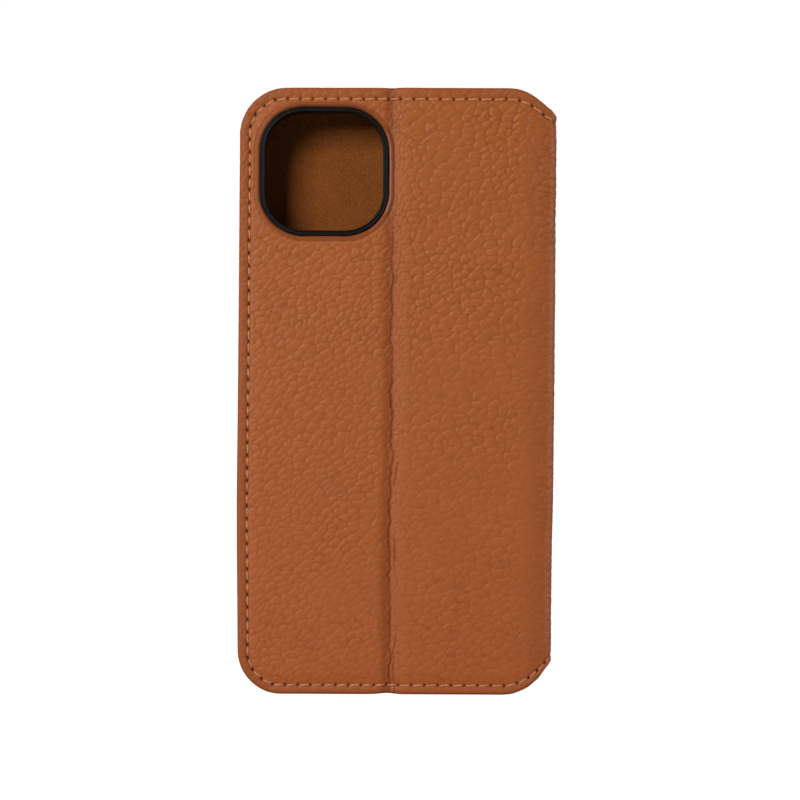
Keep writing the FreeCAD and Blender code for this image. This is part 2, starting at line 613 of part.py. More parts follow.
spine = Piece("spine_leather", ex("spine_left"), ex("-half_face"), ex("spine_low"))
spine.pad(spine.round_rect("XY_Plane", ZERO, ZERO, ex("spine_block"), ZERO, ex("spine_depth"),
                           ex("spine_radius")), "XY_Plane", ex("spine_height"))
spine.cut(spine.round_rect("XY_Plane", ZERO, ex("spine_bore_start"), ex("spine_bore_end"), ex("leather"),
                           ex("spine_bore_high"), ex("spine_bore_radius")), "XY_Plane", ex("spine_height"))
spine.cut(spine.polygon("XY_Plane", ZERO, [(ZERO, ZERO), (ex("spine_open"), ZERO),
                                           (ex("spine_open"), ex("spine_depth")), (ZERO, ex("spine_depth"))]),
          "XY_Plane", ex("spine_height"))
spine_ends(spine)

spine_lining = Piece("spine_lining", ex("spine_left"), ex("-half_face"), ex("spine_low"))
spine_lining.pad(spine_lining.round_rect("XY_Plane", ZERO, ex("spine_bore_start"), ex("spine_lining_end"),
                                         ex("leather"), ex("spine_bore_high"), ex("spine_lining_radius")),
                 "XY_Plane", ex("spine_height"))
spine_lining.cut(spine_lining.round_rect("XY_Plane", ZERO, ex("spine_bore_start"), ex("spine_lining_inner"),
                                         ex("spine_lining_from"), ex("spine_lining_to"), ex("spine_lining_bore")),
                 "XY_Plane", ex("spine_height"))
spine_lining.cut(spine_lining.polygon("XY_Plane", ZERO, [
    (ZERO, ZERO), (ex("spine_open"), ZERO), (ex("spine_open"), ex("spine_depth")), (ZERO, ex("spine_depth"))]),
    "XY_Plane", ex("spine_height"))
spine_ends(spine_lining)

spine_board = Piece("spine_board", ex("stiff_left"), ex("stiff_back"), ex("stiff_low"))
spine_board.pad(spine_board.polygon("XZ_Plane", ZERO, [(ZERO, ZERO), (ex("stiff_thick"), ZERO),
                                                       (ex("stiff_thick"), ex("stiff_height")),
                                                       (ZERO, ex("stiff_height"))]),
                "XZ_Plane", ex("stiff_width"))


# --------------------------------------------------------------- front cover
def front_profile(piece, level, inset):
    i = ["rim"] if inset else []
    low = ex("rim") if inset else ZERO
    high = ex("case_height", *["-" + s for s in i])
    right = ex("front_width", *["-" + s for s in i])
    start = ex("slant_start_front", *(["-rim_shift_a"] if inset else []))
    rise = ex("slant_rise", *(["rim_shift_b"] if inset else []))
    drop = ex("slant_drop_level", *(["-rim_shift_b"] if inset else []))
    bow = ex("corner_radius", "-rim") if inset else ex("corner_radius")
    return piece.polygon("XZ_Plane", level, [(low, low), (start, low), (right, rise), (right, drop),
                                             (start, high), (low, high)], {0: bow, 5: bow})


# modelled from the inner face, so the outer face is at the far end
front = Piece("front_leather", ex("-half_width"), ex("front_inner"), ZERO)
front.pad(front_profile(front, ZERO, False), "XZ_Plane", ex("front_total"))
front.fillet(along("y", [(size("slant_start_front"), 0), (size("slant_start_front"), size("case_height"))]),
             ex("slant_round"))
front.cut(front_profile(front, ZERO, True), "XZ_Plane", ex("front_well"))
front.fillet(on_level("y", size("front_total"),
                      lambda pts: not all(abs(p.x - size("front_width")) < 0.01 for p in pts)),
             ex("edge_round"))
lower_border(front, ex("front_total", "-border_drop"), "front_width", [
    (ex("border"), ex("border")),
    (ex("slant_start_front", "-border_low_shift"), ex("border")),
    (ex("front_width", "border_run"), ex("slant_rise", "border_rise")),
    (ex("front_width", "border_run"), ex("slant_drop_level", "-border_fall")),
    (ex("slant_start_front", "-border_high_shift"), ex("case_height", "-border")),
    (ex("border"), ex("case_height", "-border"))],
    {0: ex("corner_radius", "-border"), 5: ex("corner_radius", "-border")})

front_board = Piece("front_board", ex("-half_width"), ex("front_lining_face"), ZERO)
front_board.pad(front_profile(front_board, ZERO, True), "XZ_Plane", ex("front_board_thick"))
for start in ("magnet_low_a", "magnet_low_b"):
    front_board.cut(front_board.polygon("XZ_Plane", ZERO, [
        (ex("magnet_from_edge"), ex(start)),
        (ex("magnet_from_edge", "magnet_wide"), ex(start)),
        (ex("magnet_from_edge", "magnet_wide"), ex(start, "magnet_long")),
        (ex("magnet_from_edge"), ex(start, "magnet_long"))]), "XZ_Plane", ex("front_board_thick"))

front_lining = Piece("front_lining", ex("-half_width"), ex("front_inner"), ZERO)
front_lining.pad(front_profile(front_lining, ZERO, True), "XZ_Plane", ex("front_lining_thick"))

magnet_bars = []
for number, start in enumerate(("magnet_low_a", "magnet_low_b")):
    bar = doc.addObject("Part::Box", "magnet_bar%d" % number)
    bar.setExpression("Length", "Dims.magnet_wide")
    bar.setExpression("Width", "Dims.front_board_thick")
    bar.setExpression("Height", "Dims.magnet_long")
    bar.setExpression("Placement.Base.x", "Dims.magnet_left")
    bar.setExpression("Placement.Base.y", "Dims.front_lining_face")
    bar.setExpression("Placement.Base.z", "Dims.%s" % start)
    magnet_bars.append(bar)
magnets = doc.addObject("Part::MultiFuse", "closure_magnets")
magnets.Shapes = magnet_bars
magnets.Label = "closure_magnets"

cash = Piece("cash_pocket_panel", ex("cash_left"), ex("front_inner", "-pocket_thick"), ex("cash_low"))
cash.pad(cash.polygon("XZ_Plane", ZERO, [(ZERO, ZERO), (ex("cash_width"), ZERO),
                                         (ex("cash_width"), ex("cash_height")), (ZERO, ex("cash_height"))],
                      {0: ex("cash_radius"), 1: ex("pocket_radius")}),
         "XZ_Plane", ex("pocket_thick"))

for layer, (label, height) in enumerate((("card_pocket_upper", "pocket_top_high"),
                                         ("card_pocket_middle", "pocket_mid_high"),
                                         ("card_pocket_lower", "pocket_low_high"))):
    down = ["-pocket_thick"] * (layer + 2)
    pocket = Piece(label, ex("pocket_left"), ex("front_inner", *down), ex("pocket_low"))
    pocket.pad(pocket.polygon("XZ_Plane", ZERO, [(ZERO, ZERO), (ex("pocket_width"), ZERO),
                                                 (ex("pocket_width"), ex(height)), (ZERO, ex(height))],
                              {0: ex("pocket_radius"), 1: ex("pocket_radius")}),
               "XZ_Plane", ex("pocket_thick"))
    pocket.cut(pocket.circle("XZ_Plane", ZERO, ex("notch_mid"), ex(height, "notch_radius", "-thread_in"),
                             ex("notch_radius")), "XZ_Plane", ex("pocket_thick"))


# -------------------------------------------------------------------- thread
def walk(path, pitch):
    """Points and directions at an even pitch along a run of straight pieces."""
    lengths = [math.hypot(b[0] - a[0], b[1] - a[1]) for a, b in zip(path, path[1:])]
    total = sum(lengths)
    count = max(1, int(round(total / pitch)))
    step = total / count
    spots = []
    for k in range(count):
        want = (k + 0.5) * step
        for (a, b), run in zip(zip(path, path[1:]), lengths):
            if want <= run:
                f = want / run
                spots.append((a[0] + (b[0] - a[0]) * f, a[1] + (b[1] - a[1]) * f,
                              math.atan2(b[1] - a[1], b[0] - a[0])))
                break
            want -= run
    return spots


def arc(cx, cz, r, a0, a1, n=14):
    return [(cx + r * math.cos(math.radians(a0 + (a1 - a0) * k / n)),
             cz + r * math.sin(math.radians(a0 + (a1 - a0) * k / n))) for k in range(n + 1)]


def seam(label, paths, y0):
    """A row of stitches: one short rounded bar for each, all in one node."""
    long, wide, high = size("thread_long"), size("thread_wide"), size("thread_high")
    bar = Part.makeBox(long, high, wide, FreeCAD.Vector(-long / 2, 0, -wide / 2))
    bar = bar.makeFillet(wide * 0.45, [e for e in bar.Edges
                                       if abs(e.Vertexes[0].Point.y - e.Vertexes[1].Point.y) > high / 2])
    stitches = []
    for path in paths:
        for x, z, turn in walk(path, size("thread_pitch")):
            one = bar.copy()
            one.Placement = FreeCAD.Placement(FreeCAD.Vector(x, y0, z),
                                              FreeCAD.Rotation(FreeCAD.Vector(0, -1, 0), math.degrees(turn)))
            stitches.append(one)
    feature = doc.addObject("Part::Feature", label)
    feature.Label = label
    feature.Shape = Part.makeCompound(stitches)
    feature.Placement = FreeCAD.Placement()
    return feature


W, H = size("half_width"), size("case_height")
inset = size("thread_in")
clear = size("thread_clear")
R = size("corner_radius")
crease = -W + size("crease_from_edge")
hinge = size("flap_start") + size("flap_width")
bend = size("flap_start") + size("slant_start_back") - 0.35
low_end = (hinge - clear, size("slant_rise") - clear * 0.45 + inset * 0.86)
high_end = (hinge - clear, size("slant_drop_level") + clear * 0.4 - inset * 0.84)

back_path = ([(crease - clear, inset)]
             + arc(-W + R, R, R - inset, 270, 180)
             + arc(-W + R, H - R, R - inset, 180, 90)
             + [(crease - clear, H - inset)])
back_stitching = seam("back_stitching", [back_path], -size("half_face"))

flap_low = [(crease + clear, inset), (bend - 1.5, inset), (bend + 1.8, inset + 0.9), low_end]
flap_high = [(crease + clear, H - inset), (bend - 1.5, H - inset), (bend + 1.8, H - inset - 0.8), high_end]
flap_stitching = seam("flap_stitching", [flap_low, flap_high], -size("half_face"))

front_path = ([low_end, (bend + 1.8, inset + 0.9), (bend - 1.5, inset)]
              + arc(-W + R, R, R - inset, 270, 180)
              + arc(-W + R, H - R, R - inset, 180, 90)
              + [(bend - 1.5, H - inset), (bend + 1.8, H - inset - 0.8), high_end])
front_stitching = seam("front_stitching", [front_path], size("half_face") - size("thread_high"))

gap = 1.4
left = size("pocket_left") - gap
right = size("pocket_left") + size("pocket_width") + gap
low = size("pocket_low") - 1.2
r = size("pocket_radius") + 0.8
pocket_path = ([(left, size("cash_low") + size("cash_height") - 3.0)]
               + arc(left + r, low + r, r, 180, 270) + arc(right - r, low + r, r, 270, 360)
               + [(right, size("cash_low") + size("cash_height") - 3.0)])
pocket_stitching = seam("pocket_stitching", [pocket_path],
                        size("front_inner") - size("pocket_thick") - size("thread_high"))

# --------------------------------------------------------------------- write
doc.recompute()
ALL = PIECES + [keepers, magnets, back_stitching, flap_stitching, front_stitching, pocket_stitching]
for item in doc.Objects:
    if "Invalid" in item.State or "Error" in item.State:
        raise RuntimeError("%s is %s" % (item.Label, item.State))
os.makedirs("parts", exist_ok=True)
for item in ALL:
    shape = item.Shape
    if shape.isNull() or not shape.isValid() or not shape.Solids:
        raise RuntimeError("%s has no valid shape" % item.Label)
    shape.exportStep("parts/%s.step" % item.Label)
    box = shape.BoundBox
    print("%-20s %2d solids  x %.2f..%.2f  y %.2f..%.2f  z %.2f..%.2f  %.0f mm3" % (
        item.Label, len(shape.Solids), box.XMin, box.XMax, box.YMin, box.YMax, box.ZMin, box.ZMax, shape.Volume))
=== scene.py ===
import bpy
import math
import numpy as np
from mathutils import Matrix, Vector


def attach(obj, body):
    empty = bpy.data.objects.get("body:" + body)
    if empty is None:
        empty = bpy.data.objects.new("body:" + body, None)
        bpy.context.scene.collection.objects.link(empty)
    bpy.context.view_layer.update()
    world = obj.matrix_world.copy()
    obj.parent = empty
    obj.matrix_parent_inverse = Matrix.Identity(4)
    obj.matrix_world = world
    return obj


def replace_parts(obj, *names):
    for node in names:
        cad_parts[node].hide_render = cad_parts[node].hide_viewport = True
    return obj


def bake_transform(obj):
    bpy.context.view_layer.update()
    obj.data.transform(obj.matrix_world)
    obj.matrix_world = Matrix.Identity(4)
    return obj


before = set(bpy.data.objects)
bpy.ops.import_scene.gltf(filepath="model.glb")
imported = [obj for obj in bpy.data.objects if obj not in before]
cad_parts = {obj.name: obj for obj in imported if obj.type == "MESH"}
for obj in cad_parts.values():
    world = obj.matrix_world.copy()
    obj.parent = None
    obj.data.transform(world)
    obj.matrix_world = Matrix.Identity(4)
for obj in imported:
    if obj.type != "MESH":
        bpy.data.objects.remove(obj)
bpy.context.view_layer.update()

MM = 0.001
HALF_W, HALF_Y, HEIGHT = 39.6, 8.0, 151.4
CORNER_TOP, CORNER_LOW = 12.0, 11.0
CREASE = -1.1
FLAT = 76.2            # free edge to the start of the spine's rounding
BEND = 3.0             # outer radius of the two spine folds
ARC = BEND * math.pi / 2
S1, S2, S3, S4 = FLAT, FLAT + ARC, FLAT + ARC + 10.0, FLAT + 2 * ARC + 10.0
S_END = S4 + FLAT
LEATHER_T = 1.9
HOLE_C, HOLE_HALF, HOLE_R = (-18.2, 130.35), 16.05, 11.0


# --------------------------------------------------------------------- noise
def _table(seed):
    return np.random.RandomState(seed).rand(256, 256)


_TABLES = {}


def vnoise(x, y, seed):
    """Smooth value noise, -1 to 1, one lattice step per unit."""
    if seed not in _TABLES:
        _TABLES[seed] = _table(seed)
    t = _TABLES[seed]
    xi, yi = np.floor(x).astype(int), np.floor(y).astype(int)
    fx, fy = x - xi, y - yi
    fx = fx * fx * fx * (fx * (fx * 6 - 15) + 10)
    fy = fy * fy * fy * (fy * (fy * 6 - 15) + 10)
    a, b = t[xi & 255, yi & 255], t[(xi + 1) & 255, yi & 255]
    c, d = t[xi & 255, (yi + 1) & 255], t[(xi + 1) & 255, (yi + 1) & 255]
    return 2 * ((a * (1 - fx) + b * fx) * (1 - fy) + (c * (1 - fx) + d * fx) * fy) - 1


def fbm(x, y, seed, octaves=3):
    total, weight, amp = 0, 0, 1.0
    for o in range(octaves):
        total = total + amp * vnoise(x * 2 ** o, y * 2 ** o, seed + o)
        weight += amp
        amp *= 0.5
    return total / weight


def voronoi(u, v, seed, jitter=0.94, weight=0.10):
    """Rounded cells: distance to the cell's border, to a junction, random numbers, and where in the cell."""
    rs = np.random.RandomState(seed)
    jx, jy, jw = rs.rand(256, 256), rs.rand(256, 256), rs.rand(256, 256)
    r1, r2 = rs.rand(256, 256), rs.rand(256, 256)
    ui, vi = np.floor(u).astype(int), np.floor(v).astype(int)
    best, second, third = (np.full(u.shape, 1e9) for _ in range(3))
    bx, by, k1, k2 = (np.zeros(u.shape) for _ in range(4))
    for dx in (-2, -1, 0, 1, 2):
        for dy in (-2, -1, 0, 1, 2):
            if abs(dx) == 2 and abs(dy) == 2:
                continue
            a, b = (ui + dx) & 255, (vi + dy) & 255
            px = ui + dx + 0.5 + jitter * (jx[a, b] - 0.5)
            py = vi + dy + 0.5 + jitter * (jy[a, b] - 0.5)
            d = np.sqrt((px - u) ** 2 + (py - v) ** 2) - weight * jw[a, b]
            first = d < best
            mid = (~first) & (d < second)
            last = (~first) & (~mid) & (d < third)
            third = np.where(first | mid, second, np.where(last, d, third))
            second = np.where(first, best, np.where(mid, d, second))
            best = np.where(first, d, best)
            k1 = np.where(first, r1[a, b], k1)
            k2 = np.where(first, r2[a, b], k2)
            bx = np.where(first, px, bx)
            by = np.where(first, py, by)
    return best, (second - best) / 2, (third - best) / 2, k1, k2, u - bx, v - by


def smooth(a, b, x):
    t = np.clip((x - a) / (b - a), 0, 1)
    return t * t * (3 - 2 * t)


def bell(x, width):
    return np.exp(-(x / width) ** 2)


# ------------------------------------------------------- the case's own shape
LOW_X = [26.6, 28.4, 29.6, 30.9, 32.1, 33.4, 34.6, 35.9, 37.1, 38.2, 39.6]
LOW_Z = [0.0, 0.12, 0.38, 0.88, 1.36, 2.02, 2.92, 3.97, 5.3, 6.6, 8.1]
HIGH_X = [27.6, 28.4, 29.6, 30.9, 32.1, 33.4, 34.6, 35.9, 37.1, 38.4, 39.1, 39.6]
HIGH_Z = [0.0, 0.02, 0.14, 0.44, 0.88, 1.58, 2.40, 3.46, 4.50, 5.40, 5.98, 6.42]


def crease_x(z):
    """The stand crease wanders a little and leans with the height."""
    return CREASE - 0.12 + 0.0042 * (z - 75) + 0.16 * np.sin(z / 9.5 + 0.4) + 0.10 * vnoise(z / 3.1, z * 0 + 4.2, 77)


def z_low(x):
    x = np.asarray(x, float)
    left = np.clip(-HALF_W + CORNER_LOW - x, 0, CORNER_LOW)
    z = CORNER_LOW - np.sqrt(np.maximum(CORNER_LOW ** 2 - left ** 2, 0))
    return z + np.interp(x, LOW_X, LOW_Z)


def z_high(x):
    x = np.asarray(x, float)
    left = np.clip(-HALF_W + CORNER_TOP - x, 0, CORNER_TOP)
    z = HEIGHT - CORNER_TOP + np.sqrt(np.maximum(CORNER_TOP ** 2 - left ** 2, 0))
    return z - np.interp(x, HIGH_X, HIGH_Z)


def section(s):
    """Outer surface at flat distance s from the back's free edge: x, y and the outward normal."""
    s = np.asarray(s, float)
    a = np.clip((s - S1) / BEND, 0, math.pi / 2)
    b = np.clip((s - S3) / BEND, 0, math.pi / 2)
    x = np.where(s < S1, -HALF_W + s,
                 np.where(s < S2, 36.6 + BEND * np.sin(a),
                          np.where(s < S3, HALF_W,
                                   np.where(s < S4, 36.6 + BEND * np.cos(b), 36.6 - (s - S4)))))
    y = np.where(s < S1, -HALF_Y,
                 np.where(s < S2, -5.0 - BEND * np.cos(a),
                          np.where(s < S3, -5.0 + (s - S2),
                                   np.where(s < S4, 5.0 + BEND * np.sin(b), HALF_Y))))
    nx = np.where(s < S1, 0.0, np.where(s < S2, np.sin(a), np.where(s < S3, 1.0, np.where(s < S4, np.cos(b), 0.0))))
    ny = np.where(s < S1, -1.0, np.where(s < S2, -np.cos(a), np.where(s < S3, 0.0, np.where(s < S4, np.sin(b), 1.0))))
    return x, y, nx, ny


def edge_distance(s, z):
    """Distance in the leather from the outline."""
    x = section(s)[0]
    h = 0.02
    free = np.minimum(s, S_END - s)
    d = free * 1.0
    for edge, sign, r, zc in ((z_low, 1, CORNER_LOW, CORNER_LOW), (z_high, -1, CORNER_TOP, HEIGHT - CORNER_TOP)):
        slope = (edge(x + h) - edge(x - h)) / (2 * h)
        cx = -HALF_W + r
        straight = x > cx
        up = (z - edge(x)) * sign / np.sqrt(1 + np.where(straight, slope, 0) ** 2)
        d = np.where(straight, np.minimum(d, up), d)
        corner = (~straight) & ((z - zc) * sign < 0)
        d = np.where(corner, r - np.sqrt((x - cx) ** 2 + (z - zc) ** 2), d)
    return np.maximum(d, 0)


def settle(s, z):
    """How far the soft edges have moved from the straight outline: along X and along Z."""
    x = section(s)[0]
    spine = smooth(S1 - 6, S1 + 2, s) * (1 - smooth(S4 - 2, S4 + 6, s))
    free = 1 - smooth(0, 14, np.minimum(s, S_END - s))
    bow = np.interp(z, [4, 13.6, 23.5, 36, 48, 73, 98, 123, 144], [-.55, -.60, -.60, -.46, -.24, -.03, .05, .13, .16])
    side = np.interp(z, [8, 11, 23, 36, 48, 60, 73, 98, 123, 135], [.2, .2, .06, -.12, -.22, -.14, -.03, .08, .14, .2])
    dx = bow * spine + side * free
    back = 1 - smooth(S1 - 4, S1, s)
    near = bell(s - HALF_W - crease_x(z) + 0.6, 2.6) * back
    low = 0.26 * near * smooth(5, 0, z)
    high = np.interp(x, [-28, -24, -9, 0, 6, 26], [-.10, -.07, -.02, .06, .04, .04]) - 0.10 * near
    dz = low + high * smooth(HEIGHT - 6, HEIGHT, z)
    return dx, dz


def hole_distance(x, z, grow=0.0):
    """Signed distance to the camera hole's outline, grown by grow: negative inside."""
    qx = np.abs(x - HOLE_C[0]) - (HOLE_HALF - HOLE_R)
    qz = np.abs(z - HOLE_C[1]) - (HOLE_HALF - HOLE_R)
    return np.hypot(np.maximum(qx, 0), np.maximum(qz, 0)) + np.minimum(np.maximum(qx, qz), 0) - HOLE_R - grow


# ------------------------------------------------------------------ stitching
PITCH = 3.15


def arc_points(cx, cz, r, a0, a1, n=16):
    return [(cx + r * math.cos(math.radians(a0 + (a1 - a0) * k / n)),
             cz + r * math.sin(math.radians(a0 + (a1 - a0) * k / n))) for k in range(n + 1)]


def walk(path, pitch=PITCH):
    run = [math.hypot(b[0] - a[0], b[1] - a[1]) for a, b in zip(path, path[1:])]
    total = sum(run)
    count = max(1, int(round(total / pitch)))
    step = total / count
    out = []
    for k in range(count):
        want = (k + 0.5) * step
        for (a, b), length in zip(zip(path, path[1:]), run):
            if want <= length:
                f = want / length
                out.append((a[0] + (b[0] - a[0]) * f, a[1] + (b[1] - a[1]) * f,
                            math.atan2(b[1] - a[1], b[0] - a[0]), step))
                break
            want -= length
    return out


IN_LEFT, IN_TOP, IN_LOW = 2.65, 2.95, 2.35


def flat_path():
    """The whole seam in the flat leather: from the back's free edge round both ends of the spine to the cover."""
    def corner(cx, cz, r, a0, a1, in0, in1):
        pts = []
        for k in range(17):
            f = k / 16
            inset = in0 + (in1 - in0) * smooth(0, 1, f)
            a = math.radians(a0 + (a1 - a0) * f)
            pts.append((cx + (r - inset) * math.cos(a), cz + (r - inset) * math.sin(a)))
        return pts
    runs = {}
    for key, edge, sign, r, inset in (("low", z_low, 1, CORNER_LOW, IN_LOW), ("high", z_high, -1, CORNER_TOP, IN_TOP)):
        pts = []
        for s in np.concatenate([np.linspace(r, 72, 60), np.linspace(72.5, S_END - 72.5, 70), np.linspace(S_END - 72, S_END - r, 60)]):
            x = float(section(s)[0])
            pts.append((float(s), float(edge(x)) + sign * (inset - (0.5 if sign < 0 else 0.7) * float(smooth(34.5, 39.6, x)))))
        runs[key] = pts
    low_corner = corner(CORNER_LOW, CORNER_LOW, CORNER_LOW, 180, 270, IN_LEFT, IN_LOW)
    high_corner = corner(CORNER_TOP, HEIGHT - CORNER_TOP, CORNER_TOP, 180, 90, IN_LEFT, IN_TOP)
    low_far = [(S_END - a, b) for a, b in low_corner[::-1]]
    high_far = [(S_END - a, b) for a, b in high_corner[::-1]]
    return low_corner, runs["low"], low_far, high_corner, runs["high"], high_far


LOW_NEAR, LOW_RUN, LOW_FAR, HIGH_NEAR, HIGH_RUN, HIGH_FAR = flat_path()
CREASE_S = HALF_W - 2.2


def cut_run(run, a, b):
    return [p for p in run if a <= p[0] <= b]


def clamp_run(run, a, b):
    pts = cut_run(run, a, b)
    for end, at in ((a, 0), (b, len(pts))):
        z = float(np.interp(end, [p[0] for p in run], [p[1] for p in run]))
        if at == 0 and abs(pts[0][0] - end) > 1e-6:
            pts = [(end, z)] + pts
        elif at and abs(pts[-1][0] - end) > 1e-6:
            pts = pts + [(end, z)]
    return pts


# stitches are (flat s, z, direction, pitch)
BACK_PATH = (clamp_run(LOW_RUN, CORNER_LOW, CREASE_S)[::-1] + LOW_NEAR[::-1][1:] + HIGH_NEAR
             + clamp_run(HIGH_RUN, CORNER_TOP, CREASE_S)[1:])
SEAM_BACK = walk(BACK_PATH)
FLAP_A, FLAP_B, FLAP_C = HALF_W + 0.72, 73.0, S_END - 73.0
SEAM_FLAP = walk(clamp_run(LOW_RUN, FLAP_A, FLAP_B)) + walk(clamp_run(HIGH_RUN, FLAP_A, FLAP_B))
MID = (S2 + S3) / 2
SEAM_SPINE_BACK = walk(clamp_run(LOW_RUN, FLAP_B, MID)) + walk(clamp_run(HIGH_RUN, FLAP_B, MID))
SEAM_SPINE_FRONT = walk(clamp_run(LOW_RUN, MID, FLAP_C)) + walk(clamp_run(HIGH_RUN, MID, FLAP_C))
SEAM_CREASE = walk(clamp_run(LOW_RUN, CREASE_S, FLAP_A)) + walk(clamp_run(HIGH_RUN, CREASE_S, FLAP_A))
FRONT_PATH = (clamp_run(LOW_RUN, FLAP_C, S_END - CORNER_LOW) + LOW_FAR[1:] + HIGH_FAR[::-1]
              + clamp_run(HIGH_RUN, FLAP_C, S_END - CORNER_TOP)[::-1][1:])
SEAM_FRONT = walk(FRONT_PATH)
ALL_SEAMS = SEAM_BACK + SEAM_FLAP + SEAM_SPINE_BACK + SEAM_SPINE_FRONT + SEAM_CREASE + SEAM_FRONT


def seam_field(s, z):
    """How near a point is to the seam, and to the needle holes."""
    line = np.zeros(s.size)
    holes = np.zeros(s.size)
    fs, fz = s.ravel(), z.ravel()
    order = np.argsort(fs)
    sorted_s = fs[order]
    for ss, sz, turn, step in ALL_SEAMS:
        a, b = np.searchsorted(sorted_s, (ss - 3.2, ss + 3.2))
        sel = order[a:b]
        sel = sel[np.abs(fz[sel] - sz) < 3.2]
        if not len(sel):
            continue
        dx, dz = fs[sel] - ss, fz[sel] - sz
        t = dx * math.cos(turn) + dz * math.sin(turn)
        q = -dx * math.sin(turn) + dz * math.cos(turn)
        over = np.maximum(np.abs(t) - step / 2, 0)
        line[sel] = np.maximum(line[sel], np.exp(-(np.hypot(q, over) / 0.60) ** 2))
        upright = abs(math.sin(turn)) ** 3
        gap = np.maximum(np.abs(np.abs(t) - step / 2) - 0.42 * upright, 0)
        holes[sel] = np.maximum(holes[sel], np.exp(-(np.hypot(gap * 1.05, q * (0.90 + 0.5 * upright)) / 0.42) ** 2))
    return line.reshape(s.shape), holes.reshape(s.shape)


# -------------------------------------------------------------- leather grain
def pebbles(s, z, angle, along, across, seed, lean=0.11, warp=1.0):
    """One field of leather pebbles: their height, how deep the creases between them are, and a painted highlight along
    each pebble's upper-left edge.
    """
    a = math.radians(angle)
    ws = s + warp * (0.50 * fbm(s / 1.8, z / 1.8, seed + 11, 2) + 1.0 * vnoise(s / 12, z / 12, seed + 13))
    wz = z + warp * (0.50 * fbm(s / 1.8, z / 1.8, seed + 17, 2) + 1.0 * vnoise(s / 12, z / 12, seed + 19))
    u = (ws * math.cos(a) + wz * math.sin(a)) / along
    v = (-ws * math.sin(a) + wz * math.cos(a)) / across
    f1, edge, junction, k1, k2, du, dv = voronoi(u + 40, v + 40, seed)
    gx = math.cos(a) * du * along - math.sin(a) * dv * across
    gz = math.sin(a) * du * along + math.cos(a) * dv * across
    down = (gx * 0.72 - gz * 0.70) / max(along, across)
    top = 1 - np.exp(-(edge / 0.085) ** 1.4)
    dome = np.clip(1 - (f1 / 0.75) ** 2, 0, 1)
    height = 0.66 * top + 0.20 * dome - lean * 7.5 * down * top + 0.24 * (k1 - 0.5)
    broken = 0.35 + 0.65 * smooth(-0.45, 0.4, fbm(s / 1.7, z / 1.7, seed + 23, 2))
    crack = np.exp(-(edge / 0.065) ** 2) * broken
    node = np.exp(-(junction / 0.11) ** 2)
    # painted highlight: a light band just inside each pebble's upper-left edge, where the key light catches it
    painted_highlight = np.exp(-((edge - 0.12) / 0.065) ** 2) * np.clip(-down * 3.2, 0, 1) * broken
    return height, crack, node, k2, painted_highlight


def grain(s, z):
    """Grain over the whole case, from one continuous skin."""
    zone = crease_x(z) + HALF_W
    off = s - zone
    left = 1 - smooth(-1.0, 1.2, off)
    back = s < S1
    edge = smooth(S1 - 7.0, S1 - 0.5, s) * (1 - smooth(S4 + 0.5, S4 + 7.0, s))
    fields = [pebbles(s, z, 33, 2.55, 1.65, 5, 0.12), pebbles(s, z, 14, 2.65, 1.85, 31, 0.11),
              pebbles(s, z, 0, 3.2, 1.7, 57, 0.06), pebbles(s, z, 70, 1.6, 1.10, 83, 0.03)]
    small = pebbles(s, z, 40, 1.15, 0.90, 97, 0.04, 0.6)
    weights = [left * (1 - edge), (1 - left) * (1 - edge), edge]
    band = 0.85 * bell(off - 1.2, 1.9) * back * (off > -0.9)
    weights = [w * (1 - band) for w in weights] + [band]
    out = [sum(w * f[k] for w, f in zip(weights, fields)) for k in range(5)]
    out[0] = out[0] + 0.17 * (small[0] - 0.6)
    out[1] = np.maximum(out[1] * (1 + 1.0 * band), 0.34 * small[1])
    return out


